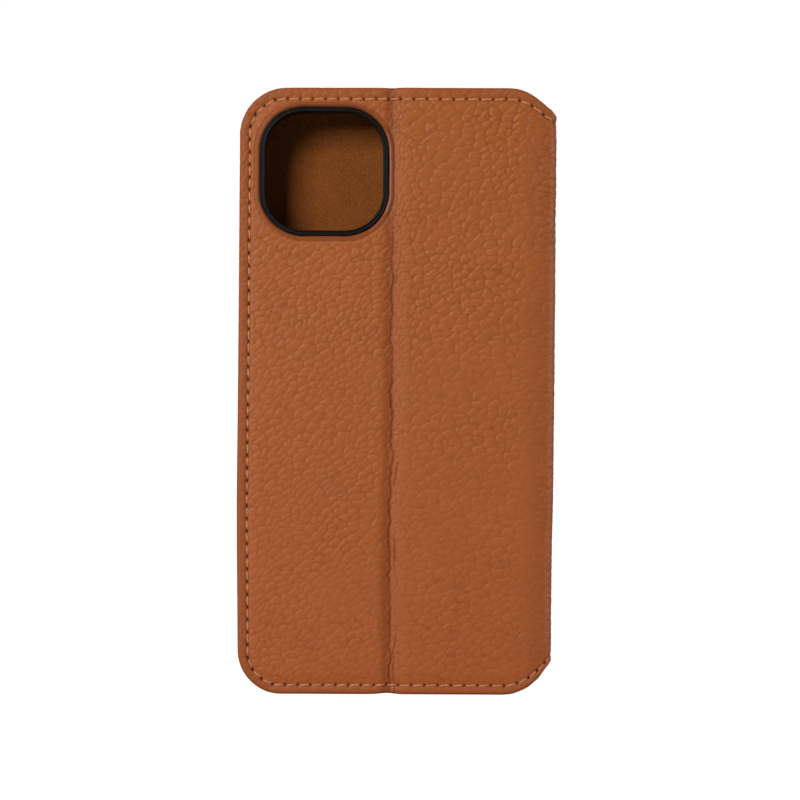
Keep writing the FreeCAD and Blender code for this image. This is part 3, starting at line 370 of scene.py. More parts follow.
def surface(s, z):
    """Outward height of the leather in mm, and the masks that colour it."""
    d = edge_distance(s, z)
    x = section(s)[0]
    back = s < S1
    on_spine = smooth(S1 - 1.5, S1 + 2.5, s) * (1 - smooth(S4 - 2.5, S4 + 1.5, s))
    height, crack, node, cell, painted_highlight = grain(s, z)
    line, holes = seam_field(s, z)
    hole = np.where(back, hole_distance(x, z), 99.0)
    calm = smooth(0.6, 4.2, d) * 0.50 + 0.50
    calm = calm * (0.35 + 0.65 * smooth(0.8, 4.0, hole)) * (1 - 0.25 * bell(s - S1 + 3.0, 3.2))
    calm = calm * (0.80 + 0.35 * fbm(s / 13, z / 13, 241, 2))
    calm = calm * (0.72 + 0.40 * smooth(35, 130, z)) * (1 - 0.10 * smooth(HALF_W, HALF_W + 8, s) * back)
    h = calm * (0.155 * (height - 0.62) - 0.035 * crack - 0.05 * node)
    # slow swells of the padding under the skin
    h = h + 0.09 * fbm(s / 17, z / 17, 201) * smooth(1.5, 6, d) * smooth(0.5, 5, hole)
    # fine wrinkles across the turned edge
    h = h + 0.055 * fbm(s / 1.2, z / 1.2, 251, 2) * (1 - smooth(1.2, 3.6, d))
    h = h + (0.20 * smooth(2.7, 5.4, d) - 0.10) * (1 - on_spine)
    # seam pulled into the skin
    h = h - 0.17 * line - 0.26 * holes
    # stand crease: soft valley, a sharp wandering wrinkle in it, a second one beside it, and the ridge
    off = s - HALF_W - crease_x(z)
    zero = z * 0
    wob = off - 0.80 * fbm(z / 4.6, zero + 9.5, 211, 3) - 0.22 * vnoise(z / 1.2, zero + 3.3, 213)
    drift = 1.55 + 0.95 * vnoise(z / 8.5, zero + 2.5, 217)
    wob2 = off - np.maximum(drift, 0.25) - 0.30 * fbm(z / 2.6, zero + 5.5, 218, 2)
    part = 0.55 + 0.45 * smooth(-0.6, 0.2, vnoise(z / 6.3, zero + 1.7, 219))
    part2 = smooth(-0.35, 0.25, vnoise(z / 6.1, zero + 6.7, 223))
    valley = bell(off + 0.70, 1.45)
    part = part * (1 - 0.78 * smooth(104, 118, z))
    part2 = part2 * (1 - 0.60 * smooth(108, 122, z))
    deep = bell(wob, 0.19) * part
    thin = bell(wob2, 0.17) * part2
    low = smooth(95, 30, z)
    h = np.where(back, h - (0.30 + 0.10 * low) * valley - 0.38 * deep - 0.28 * thin
                 + 0.11 * bell(off - 2.9, 1.7) + 0.05 * bell(off + 3.0, 1.3), h)
    # short tuck beside the hole's upper corner
    tx, tz = x + 5.6, z - 145.6
    tuck = np.exp(-((tx * 0.8 + tz * 0.6) / 1.1) ** 2 - ((-tx * 0.6 + tz * 0.8) / 0.22) ** 2) * back
    h = h - 0.14 * tuck
    # turned edge: rolls over to the inside
    roll = 0.95 - 0.50 * on_spine
    t = np.clip(roll - d, 0, roll)
    h = h - (roll - np.sqrt(np.maximum(roll ** 2 - t ** 2, 0)))
    lip = 1.15
    t = np.clip(lip - hole, 0, lip)
    h = h - np.where(back, 0.62 * (lip - np.sqrt(np.maximum(lip ** 2 - t ** 2, 0))), 0)
    h = h + np.where(back, 0.13 * bell(hole - 0.72, 0.36) - 0.17 * bell(hole - 1.42, 0.24), 0)
    # painted shade on the crease valley's left slope
    valley_shade = valley * smooth(1.4, -0.6, off)
    masks = {
        # cracks and junctions between pebbles darkened: partly the grain's own colour, partly painted shade in the
        # recesses
        "crack": np.clip((0.55 * crack + 0.65 * node) * calm, 0, 1),
        # painted shade in the crease's valley, its wrinkles, the tuck and the groove round the camera hole
        "crease_shade": np.where(back, np.clip(0.50 * valley_shade + 1.0 * deep + 0.70 * thin + 0.6 * tuck
                                        + 0.45 * bell(hole - 1.35, 0.17), 0, 1), 0),
        # painted shade in the needle holes
        "holes": holes,
        "rim": np.where(np.minimum(s, S_END - s) < 8, 1.0, 0.55) * (1 - smooth(2.0, 2.7, d)),
        # painted highlight along the ridge beside the stand crease
        "ridge_highlight": np.where(back, bell(off - 3.0, 1.9), 0),
        # painted shade where the back turns into the spine's rounding
        "fold_shade": bell(s - S1 + 0.6, 3.4),
        "lip": np.where(back, 1 - smooth(0.95, 1.25, hole), 0),
        # painted highlight on the pebbles' upper-left edges, stronger towards the top of the case
        "painted_highlight": np.clip(painted_highlight * calm * smooth(-30, 110, z), 0, 1),
        "cell": cell,
        "peak": np.clip((height - 0.62) * calm, 0, 1),
    }
    return h, masks


# ---------------------------------------------------------------- mesh making
def make_mesh(name, verts, faces):
    """verts in mm; faces an array of quads (-1 in the last place for a triangle) or a list."""
    me = bpy.data.meshes.new(name)
    me.from_pydata((np.asarray(verts) * MM).tolist(), [],
                   [[int(i) for i in f if i >= 0] for f in np.asarray(faces).tolist()])
    me.validate()
    me.update()
    me.shade_smooth()
    ob = bpy.data.objects.new(name, me)
    bpy.context.scene.collection.objects.link(ob)
    return ob


def attribute(ob, name, values):
    att = ob.data.attributes.new(name, "FLOAT", "POINT")
    att.data.foreach_set("value", np.asarray(values, np.float32))


def flat_attribute(ob, flat):
    att = ob.data.attributes.new("flat", "FLOAT_VECTOR", "POINT")
    att.data.foreach_set("vector", np.asarray(flat, np.float32).ravel())


def place(s, z, out):
    x, y, nx, ny = section(s)
    dx, dz = settle(s, z)
    return np.stack([x + nx * out + dx, y + ny * out, z + dz], -1)


def columns(s0, s1, step, fine=None):
    """Flat positions of the mesh's columns, closer together at a rounded free edge and at the crease."""
    r = CORNER_TOP
    turn = np.radians(np.linspace(0, 90, int(math.pi / 2 * r / step) + 1))
    bow = r * (1 - np.cos(turn))
    left, right = s0 <= 0, s1 >= S_END
    start = s0 + (bow[-1] if left else 0)
    end = s1 - (bow[-1] if right else 0)
    if fine:
        a, b, small = fine
        marks = [np.linspace(start, a, max(2, int(round((a - start) / step)) + 1))[:-1],
                 np.linspace(a, b, int(round((b - a) / small)) + 1)[:-1],
                 np.linspace(b, end, max(2, int(round((end - b) / step)) + 1))]
        mid = np.concatenate(marks)
    else:
        mid = np.linspace(start, end, max(2, int(round((end - start) / step)) + 1))
    if left:
        mid = np.concatenate([s0 + bow[:-1], mid])
    if right:
        mid = np.concatenate([mid, (s1 - bow[:-1])[::-1]])
    return mid


def rows(x, count):
    near = np.array([0, 0.02, 0.07, 0.16, 0.29, 0.47, 0.70, 0.98, 1.3])
    lo, hi = z_low(x)[:, None], z_high(x)[:, None]
    inner = np.linspace(0, 1, count)[None, :]
    a, b = lo + near[-1], hi - near[-1]
    mid = a + (b - a) * inner
    return np.concatenate([lo + near[None, :-1], mid, (hi - near[None, :-1])[:, ::-1]], 1)


def outline_normals(s, z):
    """Inward direction, in the flat leather, along a boundary run."""
    ds, dz = np.gradient(s), np.gradient(z)
    size = np.hypot(ds, dz) + 1e-12
    return -dz / size, ds / size


def open_hole(s, z, faces, grow):
    """Opens the camera hole in a grid: drops the inner faces and draws the edge onto the outline."""
    inside = hole_distance(section(s.ravel())[0], z.ravel(), grow) < 0.0
    faces = faces[~inside[faces].all(1)]
    used = np.unique(faces)
    edge = used[inside[used]]
    sf, zf = s.ravel().copy(), z.ravel().copy()
    for _ in range(3):
        xe, ze = sf[edge] - HALF_W, zf[edge]
        e = 1e-3
        d = hole_distance(xe, ze, grow)
        gx = (hole_distance(xe + e, ze, grow) - hole_distance(xe - e, ze, grow)) / (2 * e)
        gz = (hole_distance(xe, ze + e, grow) - hole_distance(xe, ze - e, grow)) / (2 * e)
        sf[edge] -= d * gx
        zf[edge] -= d * gz
    return sf.reshape(s.shape), zf.reshape(z.shape), faces


STRIP = 0.215


def whole_back():
    """The back and flap as one grid, with its exact normals, to be cut into three strips."""
    col = columns(0.0, CUT_AB, STRIP)
    x = section(col)[0]
    near = np.array([0, 0.02, 0.06, 0.13, 0.23, 0.36, 0.52, 0.71, 0.92])
    cuts = (51.0, 101.0)
    lo, hi = z_low(x)[:, None], z_high(x)[:, None]

    def run(a, b):
        n = int(round(float(np.max(b - a)) / STRIP))
        return a + (b - a) * np.linspace(0, 1, n + 1)[None, :]
    flat = np.ones((len(col), 1))
    bottom = np.concatenate([lo + near[None, :-1], run(lo + near[-1], cuts[0] * flat)], 1)
    middle = run(cuts[0] * flat, cuts[1] * flat)
    top = np.concatenate([run(cuts[1] * flat, hi - near[-1]), (hi - near[None, :-1])[:, ::-1]], 1)
    z = np.concatenate([bottom, middle[:, 1:], top[:, 1:]], 1)
    s = np.repeat(col[:, None], z.shape[1], 1)
    h, masks = surface(s.ravel(), z.ravel())
    pos = place(s.ravel(), z.ravel(), h).reshape(s.shape + (3,))
    normal = np.cross(np.gradient(pos, axis=0), np.gradient(pos, axis=1))
    normal *= np.where(normal[..., 1:2] > 0, -1.0, 1.0)
    normal /= np.linalg.norm(normal, axis=-1, keepdims=True) + 1e-12
    first = bottom.shape[1]
    second = first + middle.shape[1] - 1
    return s, z, {k: np.asarray(v).reshape(s.shape) for k, v in masks.items()}, h.reshape(s.shape), normal, (first - 1, second - 1)


def skin(name, s0, s1, step, hole=False, strip=None):
    """One piece of the leather. strip is (grid, first row, last row) of the whole back."""
    free_left, free_right = s0 <= 0, s1 >= S_END
    if strip:
        (sg, zg, mg, hg, ng, _), r0, r1 = strip
        last = zg.shape[1] - 1
        cut = slice(r0, r1 + 1)
        s, z, h = sg[:, cut].copy(), zg[:, cut].copy(), hg[:, cut].copy()
        masks = {k: v[:, cut].copy() for k, v in mg.items()}
        keep_normal = np.zeros(s.shape + (3,))
        if r0 > 0:
            keep_normal[:, 0] = ng[:, r0]
        if r1 < last:
            keep_normal[:, -1] = ng[:, r1]
        at_low, at_high = r0 == 0, r1 == last
    else:
        col = columns(s0, s1, step)
        z = rows(section(col)[0], int((HEIGHT - 2.6) / step))
        s = np.repeat(col[:, None], z.shape[1], 1)
        at_low = at_high = True
        keep_normal = None
    nc, nr = s.shape
    idx = np.arange(nc * nr).reshape(nc, nr)
    faces = np.stack([idx[:-1, :-1], idx[1:, :-1], idx[1:, 1:], idx[:-1, 1:]], -1).reshape(-1, 4)
    if hole:
        s, z, faces = open_hole(s, z, faces, 0.30)
        moved = hole_distance(section(s)[0], z, 0.30) < 0.01
        hm, mm = surface(s[moved], z[moved])
        h[moved] = hm
        for k in masks:
            masks[k][moved] = mm[k]
    if not strip:
        h, masks = surface(s.ravel(), z.ravel())
    verts = place(s.ravel(), z.ravel(), h.ravel())
    flat = np.stack([s.ravel(), z.ravel(), np.zeros(s.size)], -1)

    # the edge goes on over the rim and back along the inside
    if free_left:
        run = (list(idx[::-1, 0]) if at_low else [int(idx[0, 0])])
        run += list(idx[0, 1:-1])
        run += (list(idx[:, -1]) if at_high else [int(idx[0, -1])])
        runs = [run]
    elif free_right:
        run = list(idx[:, 0]) + list(idx[-1, 1:-1]) + list(idx[::-1, -1])
        runs = [run]
    else:
        runs = [list(idx[:, 0]), list(idx[::-1, -1])]
    extra_v, extra_f, extra_flat, extra_m = [], [], [], {k: [] for k in masks}
    total = verts.shape[0]
    loops = [(0.95 * (1 - math.cos(b)), 0.95 * (1 + math.sin(b))) for b in np.radians([18, 36, 54, 72, 90])]
    loops += [(1.6, 1.86), (3.0, 1.83), (4.2, 1.80)]
    for run in runs:
        run = np.array(run)
        rs, rz = s.ravel()[run], z.ravel()[run]
        ins, inz = outline_normals(rs, rz)
        # point the normals into the leather
        test = (rs + 0.5 * ins, rz + 0.5 * inz)
        dist = edge_distance(*test)
        flip = -1 if np.mean(dist) < 0.2 else 1
        ins, inz = ins * flip, inz * flip
        prev = run
        for inward, depth in loops:
            qs, qz = rs + ins * inward, rz + inz * inward
            extra_v.append(place(qs, qz, np.full(len(run), -depth)))
            extra_flat.append(np.stack([qs, qz, np.full(len(run), depth)], -1))
            for k in extra_m:
                extra_m[k].append(np.full(len(run), 0.8 if k == "rim" else (0.5 if k == "cell" else 0.0)))
            cur = total + np.arange(len(run))
            total += len(run)
            quads = np.stack([prev[:-1], prev[1:], cur[1:], cur[:-1]], -1)
            extra_f.append(quads)
            prev = cur
    verts = np.concatenate([verts] + extra_v)
    flat = np.concatenate([flat] + extra_flat)
    for k in masks:
        masks[k] = np.concatenate([np.asarray(masks[k]).ravel()] + extra_m[k])
    faces = np.concatenate([faces] + extra_f)
    # drop points that no face uses
    used = np.unique(faces)
    remap = np.full(len(verts), -1)
    remap[used] = np.arange(len(used))
    faces = remap[faces]
    ob = make_mesh(name, verts[used], faces)
    for k in masks:
        attribute(ob, k, masks[k][used])
    flat_attribute(ob, flat[used] * 1.0)
    # face the skin outwards
    import bmesh
    me = ob.data
    bm = bmesh.new()
    bm.from_mesh(me)
    bmesh.ops.recalc_face_normals(bm, faces=bm.faces)
    bm.faces.ensure_lookup_table()
    vote = 0.0
    for i in range(0, len(bm.faces), max(1, len(bm.faces) // 400)):
        f = bm.faces[i]
        c = f.calc_center_median()
        if c.x > 0.0385:
            vote += f.normal.x
        elif abs(c.y) > 0.0072:
            vote += f.normal.y * (1 if c.y > 0 else -1)
    if vote < 0:
        bmesh.ops.reverse_faces(bm, faces=bm.faces)
    bm.to_mesh(me)
    bm.free()
    me.shade_smooth()
    if keep_normal is not None:
        fixed = np.zeros((len(remap), 3))
        fixed[:nc * nr] = keep_normal.reshape(-1, 3)
        me.normals_split_custom_set_from_vertices(fixed[used].tolist())
    return ob


# ------------------------------------------------------------------ materials
def srgb(r, g, b):
    def lin(c):
        c = c / 255.0
        return c / 12.92 if c <= 0.04045 else ((c + 0.055) / 1.055) ** 2.4
    return (lin(r), lin(g), lin(b), 1.0)


def new_material(name):
    mat = bpy.data.materials.new(name)
    mat.use_nodes = True
    nt = mat.node_tree
    nt.nodes.clear()
    out = nt.nodes.new("ShaderNodeOutputMaterial")
    bsdf = nt.nodes.new("ShaderNodeBsdfPrincipled")
    nt.links.new(bsdf.outputs[0], out.inputs[0])
    return mat, nt, bsdf


class Nodes:
    """Small helper that writes node graphs in one line each."""

    def __init__(self, nt):
        self.nt = nt

    def link(self, value, socket):
        if isinstance(value, (int, float)):
            socket.default_value = value
        elif isinstance(value, tuple):
            socket.default_value = value
        else:
            self.nt.links.new(value, socket)

    def attr(self, name, kind="Fac"):
        n = self.nt.nodes.new("ShaderNodeAttribute")
        n.attribute_name = name
        return n.outputs[kind]

    def math(self, op, a, b=0.0, clamp=False):
        n = self.nt.nodes.new("ShaderNodeMath")
        n.operation = op
        n.use_clamp = clamp
        self.link(a, n.inputs[0])
        self.link(b, n.inputs[1])
        return n.outputs[0]

    def mix(self, fac, a, b, mode="MIX"):
        n = self.nt.nodes.new("ShaderNodeMix")
        n.data_type = "RGBA"
        n.blend_type = mode
        self.link(fac, n.inputs[0])
        self.link(a, n.inputs[6])
        self.link(b, n.inputs[7])
        return n.outputs[2]

    def noise(self, vec, scale, detail=3.0, rough=0.55):
        n = self.nt.nodes.new("ShaderNodeTexNoise")
        n.inputs["Scale"].default_value = scale
        n.inputs["Detail"].default_value = detail
        n.inputs["Roughness"].default_value = rough
        self.link(vec, n.inputs["Vector"])
        return n.outputs["Fac"]

    def voronoi(self, vec, scale, feature="DISTANCE_TO_EDGE"):
        n = self.nt.nodes.new("ShaderNodeTexVoronoi")
        n.feature = feature
        n.inputs["Scale"].default_value = scale
        self.link(vec, n.inputs["Vector"])
        return n.outputs["Distance"]

    def ramp(self, fac, stops):
        n = self.nt.nodes.new("ShaderNodeValToRGB")
        el = n.color_ramp.elements
        while len(el) > 1:
            el.remove(el[-1])
        el[0].position, el[0].color = stops[0]
        for pos, col in stops[1:]:
            e = el.new(pos)
            e.color = col
        self.link(fac, n.inputs[0])
        return n.outputs[0]

    def map_range(self, value, a, b, c, d):
        n = self.nt.nodes.new("ShaderNodeMapRange")
        self.link(value, n.inputs[0])
        for i, v in enumerate((a, b, c, d), start=1):
            n.inputs[i].default_value = v
        return n.outputs[0]

    def bump(self, height, strength, distance, normal=None):
        n = self.nt.nodes.new("ShaderNodeBump")
        n.inputs["Strength"].default_value = strength
        n.inputs["Distance"].default_value = distance
        self.link(height, n.inputs["Height"])
        if normal is not None:
            self.link(normal, n.inputs["Normal"])
        return n.outputs[0]

    def separate(self, vec):
        n = self.nt.nodes.new("ShaderNodeSeparateXYZ")
        self.link(vec, n.inputs[0])
        return n.outputs

    def coords(self):
        return self.nt.nodes.new("ShaderNodeTexCoord").outputs["Object"]


def leather_material():
    mat, nt, bsdf = new_material("tan_leather")
    g = Nodes(nt)
    flat = g.attr("flat", "Vector")
    # painted lighting tint: the base colour runs from a more orange tan at the top of the case to a redder tan at the
    # bottom
    top, low = srgb(170, 89, 27), srgb(180, 93, 42)
    z = g.separate(flat)[1]
    base = g.mix(g.map_range(z, 10.0, 145.0, 1.0, 0.0), top, low)
    # dye that took unevenly
    blot = g.noise(flat, 0.06, 4.0, 0.6)
    base = g.mix(g.map_range(blot, 0.35, 0.7, 0.0, 0.35), base, srgb(158, 82, 38))
    fleck = g.noise(flat, 0.75, 3.0, 0.6)
    base = g.mix(g.map_range(fleck, 0.4, 0.75, 0.0, 0.22), base, srgb(178, 100, 50))
    base = g.mix(g.math("MULTIPLY", g.attr("peak"), 0.28), base, srgb(182, 104, 54))
    base = g.mix(g.math("MULTIPLY", g.attr("cell"), 0.12), base, srgb(150, 76, 32))
    base = g.mix(g.math("MULTIPLY", g.attr("rim"), 0.55), base, srgb(146, 72, 30))
    # painted highlight: lighter tan along the pebbles' upper-left edges
    base = g.mix(g.math("MULTIPLY", g.attr("painted_highlight"), 0.50, True), base, srgb(206, 130, 80))
    base = g.mix(g.math("MULTIPLY", g.attr("lip"), 0.80), base, srgb(130, 64, 26))
    # painted highlight: lighter tan on the ridge beside the crease
    base = g.mix(g.math("MULTIPLY", g.attr("ridge_highlight"), 0.30), base, srgb(184, 106, 56))
    # painted shade: darker tan where the back turns into the spine's rounding
    base = g.mix(g.math("MULTIPLY", g.attr("fold_shade"), 0.50), base, srgb(150, 78, 36))
    # darker fine cracks and darker cracks between pebbles: partly the grain's own colour, partly painted shade in the
    # recesses
    fine = g.voronoi(flat, 1.9)
    base = g.mix(g.map_range(fine, 0.0, 0.10, 0.14, 0.0), base, srgb(132, 64, 28))
    base = g.mix(g.math("MULTIPLY", g.attr("crack"), 0.45), base, srgb(116, 52, 20))
    # painted shade: dark brown in the crease, its wrinkles, the tuck and the groove round the hole
    base = g.mix(g.math("MULTIPLY", g.attr("crease_shade"), 0.80), base, srgb(108, 46, 16))
    # painted shade: near-black in the needle holes
    base = g.mix(g.map_range(g.attr("holes"), 0.25, 0.85, 0.0, 0.95), base, srgb(58, 22, 8))
    nt.links.new(base, bsdf.inputs["Base Color"])
    rough = g.map_range(g.noise(flat, 1.4, 3.0, 0.6), 0.3, 0.7, 0.46, 0.60)
    rough = g.math("ADD", rough, g.math("MULTIPLY", g.attr("crack"), 0.15))
    nt.links.new(rough, bsdf.inputs["Roughness"])
    bsdf.inputs["Specular IOR Level"].default_value = 0.26
    bsdf.inputs["Sheen Weight"].default_value = 0.02
    bsdf.inputs["Sheen Roughness"].default_value = 0.5
    micro = g.math("ADD", g.math("MULTIPLY", g.map_range(fine, 0.0, 0.16, 0.0, 1.0), 0.6),
                   g.math("MULTIPLY", g.noise(flat, 5.5, 4.0, 0.65), 0.8))
    nt.links.new(g.bump(micro, 0.35, 0.00006), bsdf.inputs["Normal"])
    return mat


def edge_paint_material():
    mat, nt, bsdf = new_material("leather_edge_paint")
    g = Nodes(nt)
    vec = g.coords()
    n = g.noise(vec, 900.0, 3.0, 0.6)
    base = g.mix(g.map_range(n, 0.3, 0.7, 0.0, 1.0), srgb(124, 60, 24), srgb(140, 70, 30))
    nt.links.new(base, bsdf.inputs["Base Color"])
    bsdf.inputs["Roughness"].default_value = 0.42
    bsdf.inputs["Specular IOR Level"].default_value = 0.5
    nt.links.new(g.bump(n, 0.25, 0.00006), bsdf.inputs["Normal"])
    return mat


def thread_material():
    mat, nt, bsdf = new_material("waxed_thread")
    g = Nodes(nt)
    vec = g.coords()
    n = g.noise(vec, 2600.0, 3.0, 0.6)
    base = g.mix(g.map_range(n, 0.35, 0.65, 0.0, 1.0), srgb(178, 108, 64), srgb(216, 150, 104))
    nt.links.new(base, bsdf.inputs["Base Color"])
    bsdf.inputs["Roughness"].default_value = 0.55
    bsdf.inputs["Sheen Weight"].default_value = 0.2
    nt.links.new(g.bump(n, 0.4, 0.00005), bsdf.inputs["Normal"])
    return mat


def rubber_material():
    mat, nt, bsdf = new_material("tray_polymer")
    g = Nodes(nt)
    vec = g.coords()
    n = g.noise(vec, 1800.0, 3.0, 0.6)
    smudge = g.noise(vec, 60.0, 3.0, 0.6)
    base = g.mix(g.map_range(smudge, 0.35, 0.7, 0.0, 1.0), srgb(6, 6, 6), srgb(12, 11, 11))
    nt.links.new(base, bsdf.inputs["Base Color"])
    nt.links.new(g.map_range(smudge, 0.3, 0.7, 0.38, 0.52), bsdf.inputs["Roughness"])
    bsdf.inputs["Specular IOR Level"].default_value = 0.16
    nt.links.new(g.bump(n, 0.20, 0.00003), bsdf.inputs["Normal"])
    return mat


def suede_material():
    mat, nt, bsdf = new_material("suede_microfibre")
    g = Nodes(nt)
    vec = g.coords()
    fuzz = g.noise(vec, 3200.0, 4.0, 0.7)
    nap = g.noise(vec, 240.0, 4.0, 0.65)
    patch = g.noise(vec, 45.0, 3.0, 0.6)
    base = g.mix(g.map_range(nap, 0.35, 0.68, 0.0, 1.0), srgb(112, 58, 20), srgb(128, 70, 27))
    base = g.mix(g.map_range(patch, 0.35, 0.7, 0.0, 0.4), base, srgb(106, 54, 18))
    base = g.mix(g.map_range(fuzz, 0.42, 0.66, 0.0, 0.75), base, srgb(156, 92, 42))
    base = g.mix(g.map_range(fuzz, 0.28, 0.45, 0.6, 0.0), base, srgb(80, 38, 12))
    nt.links.new(base, bsdf.inputs["Base Color"])
    bsdf.inputs["Roughness"].default_value = 0.95
    bsdf.inputs["Specular IOR Level"].default_value = 0.10
    bsdf.inputs["Sheen Weight"].default_value = 0.12
    bsdf.inputs["Sheen Roughness"].default_value = 0.45
    nt.links.new(g.bump(g.math("ADD", fuzz, nap), 0.5, 0.00018), bsdf.inputs["Normal"])
    return mat


def simple_material(name, a, b, scale, rough, metal=0.0, bump=0.2, dist=0.00005):
    mat, nt, bsdf = new_material(name)
    g = Nodes(nt)
    vec = g.coords()
    n = g.noise(vec, scale, 4.0, 0.6)
    nt.links.new(g.mix(g.map_range(n, 0.3, 0.7, 0.0, 1.0), a, b), bsdf.inputs["Base Color"])
    nt.links.new(g.map_range(n, 0.3, 0.7, rough - 0.06, rough + 0.06), bsdf.inputs["Roughness"])
    bsdf.inputs["Metallic"].default_value = metal
    nt.links.new(g.bump(n, bump, dist), bsdf.inputs["Normal"])
    return mat


LEATHER = leather_material()
EDGE = edge_paint_material()
THREAD = thread_material()
RUBBER = rubber_material()
SUEDE = suede_material()
BOARD = simple_material("grey_board", srgb(120, 104, 84), srgb(142, 124, 100), 700.0, 0.85)
STIFF = simple_material("stiffener_sheet", srgb(36, 36, 38), srgb(48, 48, 50), 900.0, 0.55)
GLUE = simple_material("adhesive_film", srgb(196, 194, 186), srgb(212, 210, 204), 500.0, 0.4)
STEEL = simple_material("thin_steel", srgb(150, 152, 156), srgb(176, 178, 182), 1500.0, 0.32, metal=1.0)


def paint(ob, mat):
    ob.data.materials.clear()
    ob.data.materials.append(mat)


def paint_cad(node, mat):
    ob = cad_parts[node]
    for sl in ob.material_slots:
        sl.material = mat
    if not ob.material_slots:
        ob.data.materials.append(mat)


# ------------------------------------------------------------- outer leather
CUT_AB, CUT_BC = 72.6, S2 + 5.0
GRID = whole_back()
ROWS = GRID[5]
strips = [skin("leather_back_low", 0.0, CUT_AB, STRIP, strip=(GRID, 0, ROWS[0])),
          skin("leather_back_middle", 0.0, CUT_AB, STRIP, strip=(GRID, ROWS[0], ROWS[1])),
          skin("leather_back_high", 0.0, CUT_AB, STRIP, hole=True, strip=(GRID, ROWS[1], GRID[1].shape[1] - 1))]
skin_spine = skin("leather_flap_to_spine", CUT_AB, CUT_BC, 0.22)
skin_front = skin("leather_spine_to_cover", CUT_BC, S_END, 0.40)
for ob in strips + [skin_spine, skin_front]:
    paint(ob, LEATHER)


# ------------------------------------------------------- rim of the camera hole
def rounded_square(cx, cz, half, r, n_arc=18, n_side=16):
    pts = []
    for k, (sx, sz) in enumerate(((1, -1), (1, 1), (-1, 1), (-1, -1))):
        ox, oz = cx + sx * (half - r), cz + sz * (half - r)
        a0 = -90 + 90 * k
        for i in range(n_arc + 1):
            a = math.radians(a0 + 90 * i / n_arc)
            pts.append((ox + r * math.cos(a), oz + r * math.sin(a), math.cos(a), math.sin(a)))
        nx = ((cx + ((1, 1), (1, 1), (-1, 1), (-1, -1), (1, -1))[k + 1][0] * (half - r)))
        # straight run to the next corner
        sx2, sz2 = ((1, 1), (-1, 1), (-1, -1), (1, -1))[k]
        ex, ez = cx + sx2 * (half - r), cz + sz2 * (half - r)
        a = math.radians(a0 + 90)
        x0, z0 = ox + r * math.cos(a), oz + r * math.sin(a)
        x1, z1 = ex + r * math.cos(a), ez + r * math.sin(a)
        for i in range(1, n_side):
            f = i / n_side
            pts.append((x0 + (x1 - x0) * f, z0 + (z1 - z0) * f, math.cos(a), math.sin(a)))
    return pts


def ring(name, cx, cz, half, r, profile, wobble=0.0, seed=0):
    """Sweeps a profile of (outwards, y) points round a rounded square."""
    loop = rounded_square(cx, cz, half, r)
    n, m = len(loop), len(profile)
    verts, faces = [], []
    ang = np.linspace(0, 2 * math.pi, n, endpoint=False)
    wob = wobble * vnoise(np.cos(ang) * 6 + 20, np.sin(ang) * 6 + 20, 300 + seed)
    for i, (x, z, nx, nz) in enumerate(loop):
        for out, y in profile:
            verts.append((x + nx * (out + wob[i]), y, z + nz * (out + wob[i])))
    for i in range(n):
        for j in range(m - 1):
            faces.append((i * m + j, ((i + 1) % n) * m + j, ((i + 1) % n) * m + j + 1, i * m + j + 1))
    ob = make_mesh(name, verts, faces)
    return ob


prof = [(1.30, -7.62), (1.05, -7.76), (0.8, -7.84), (0.55, -7.86)]
prof += [(0.55 - 0.55 * math.sin(a), -7.31 - 0.55 * math.cos(a)) for a in np.radians([15, 30, 45, 60, 75, 90])]
prof += [(0.0, -6.9), (0.0, -6.5), (0.1, -6.22), (0.35, -6.08), (1.0, -6.05), (2.2, -6.08)]
hole_rim = ring("camera_hole_edge", HOLE_C[0], HOLE_C[1], HOLE_HALF, HOLE_R, prof, 0.07, 1)
paint(hole_rim, EDGE)
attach(hole_rim, "back_panel")


def lip(name, half, r, width, base, crest):
    """A rounded bead standing on the camera ring of the tray."""
    rise = base - crest
    pts = [(width / 2 * math.cos(a), base - rise * math.sin(a)) for a in np.radians(np.linspace(0, 180, 9))]
    ob = ring(name, -18.35, 130.4, half, r, [(width / 2, base + 0.12)] + pts + [(-width / 2, base + 0.12)])
    paint(ob, RUBBER)
    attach(ob, "back_panel")
    return ob


lip("camera_ring_outer_lip", 15.78, 10.58, 0.40, -7.88, -8.06)
lip("camera_ring_inner_lip", 15.02, 9.85, 0.44, -7.88, -8.12)


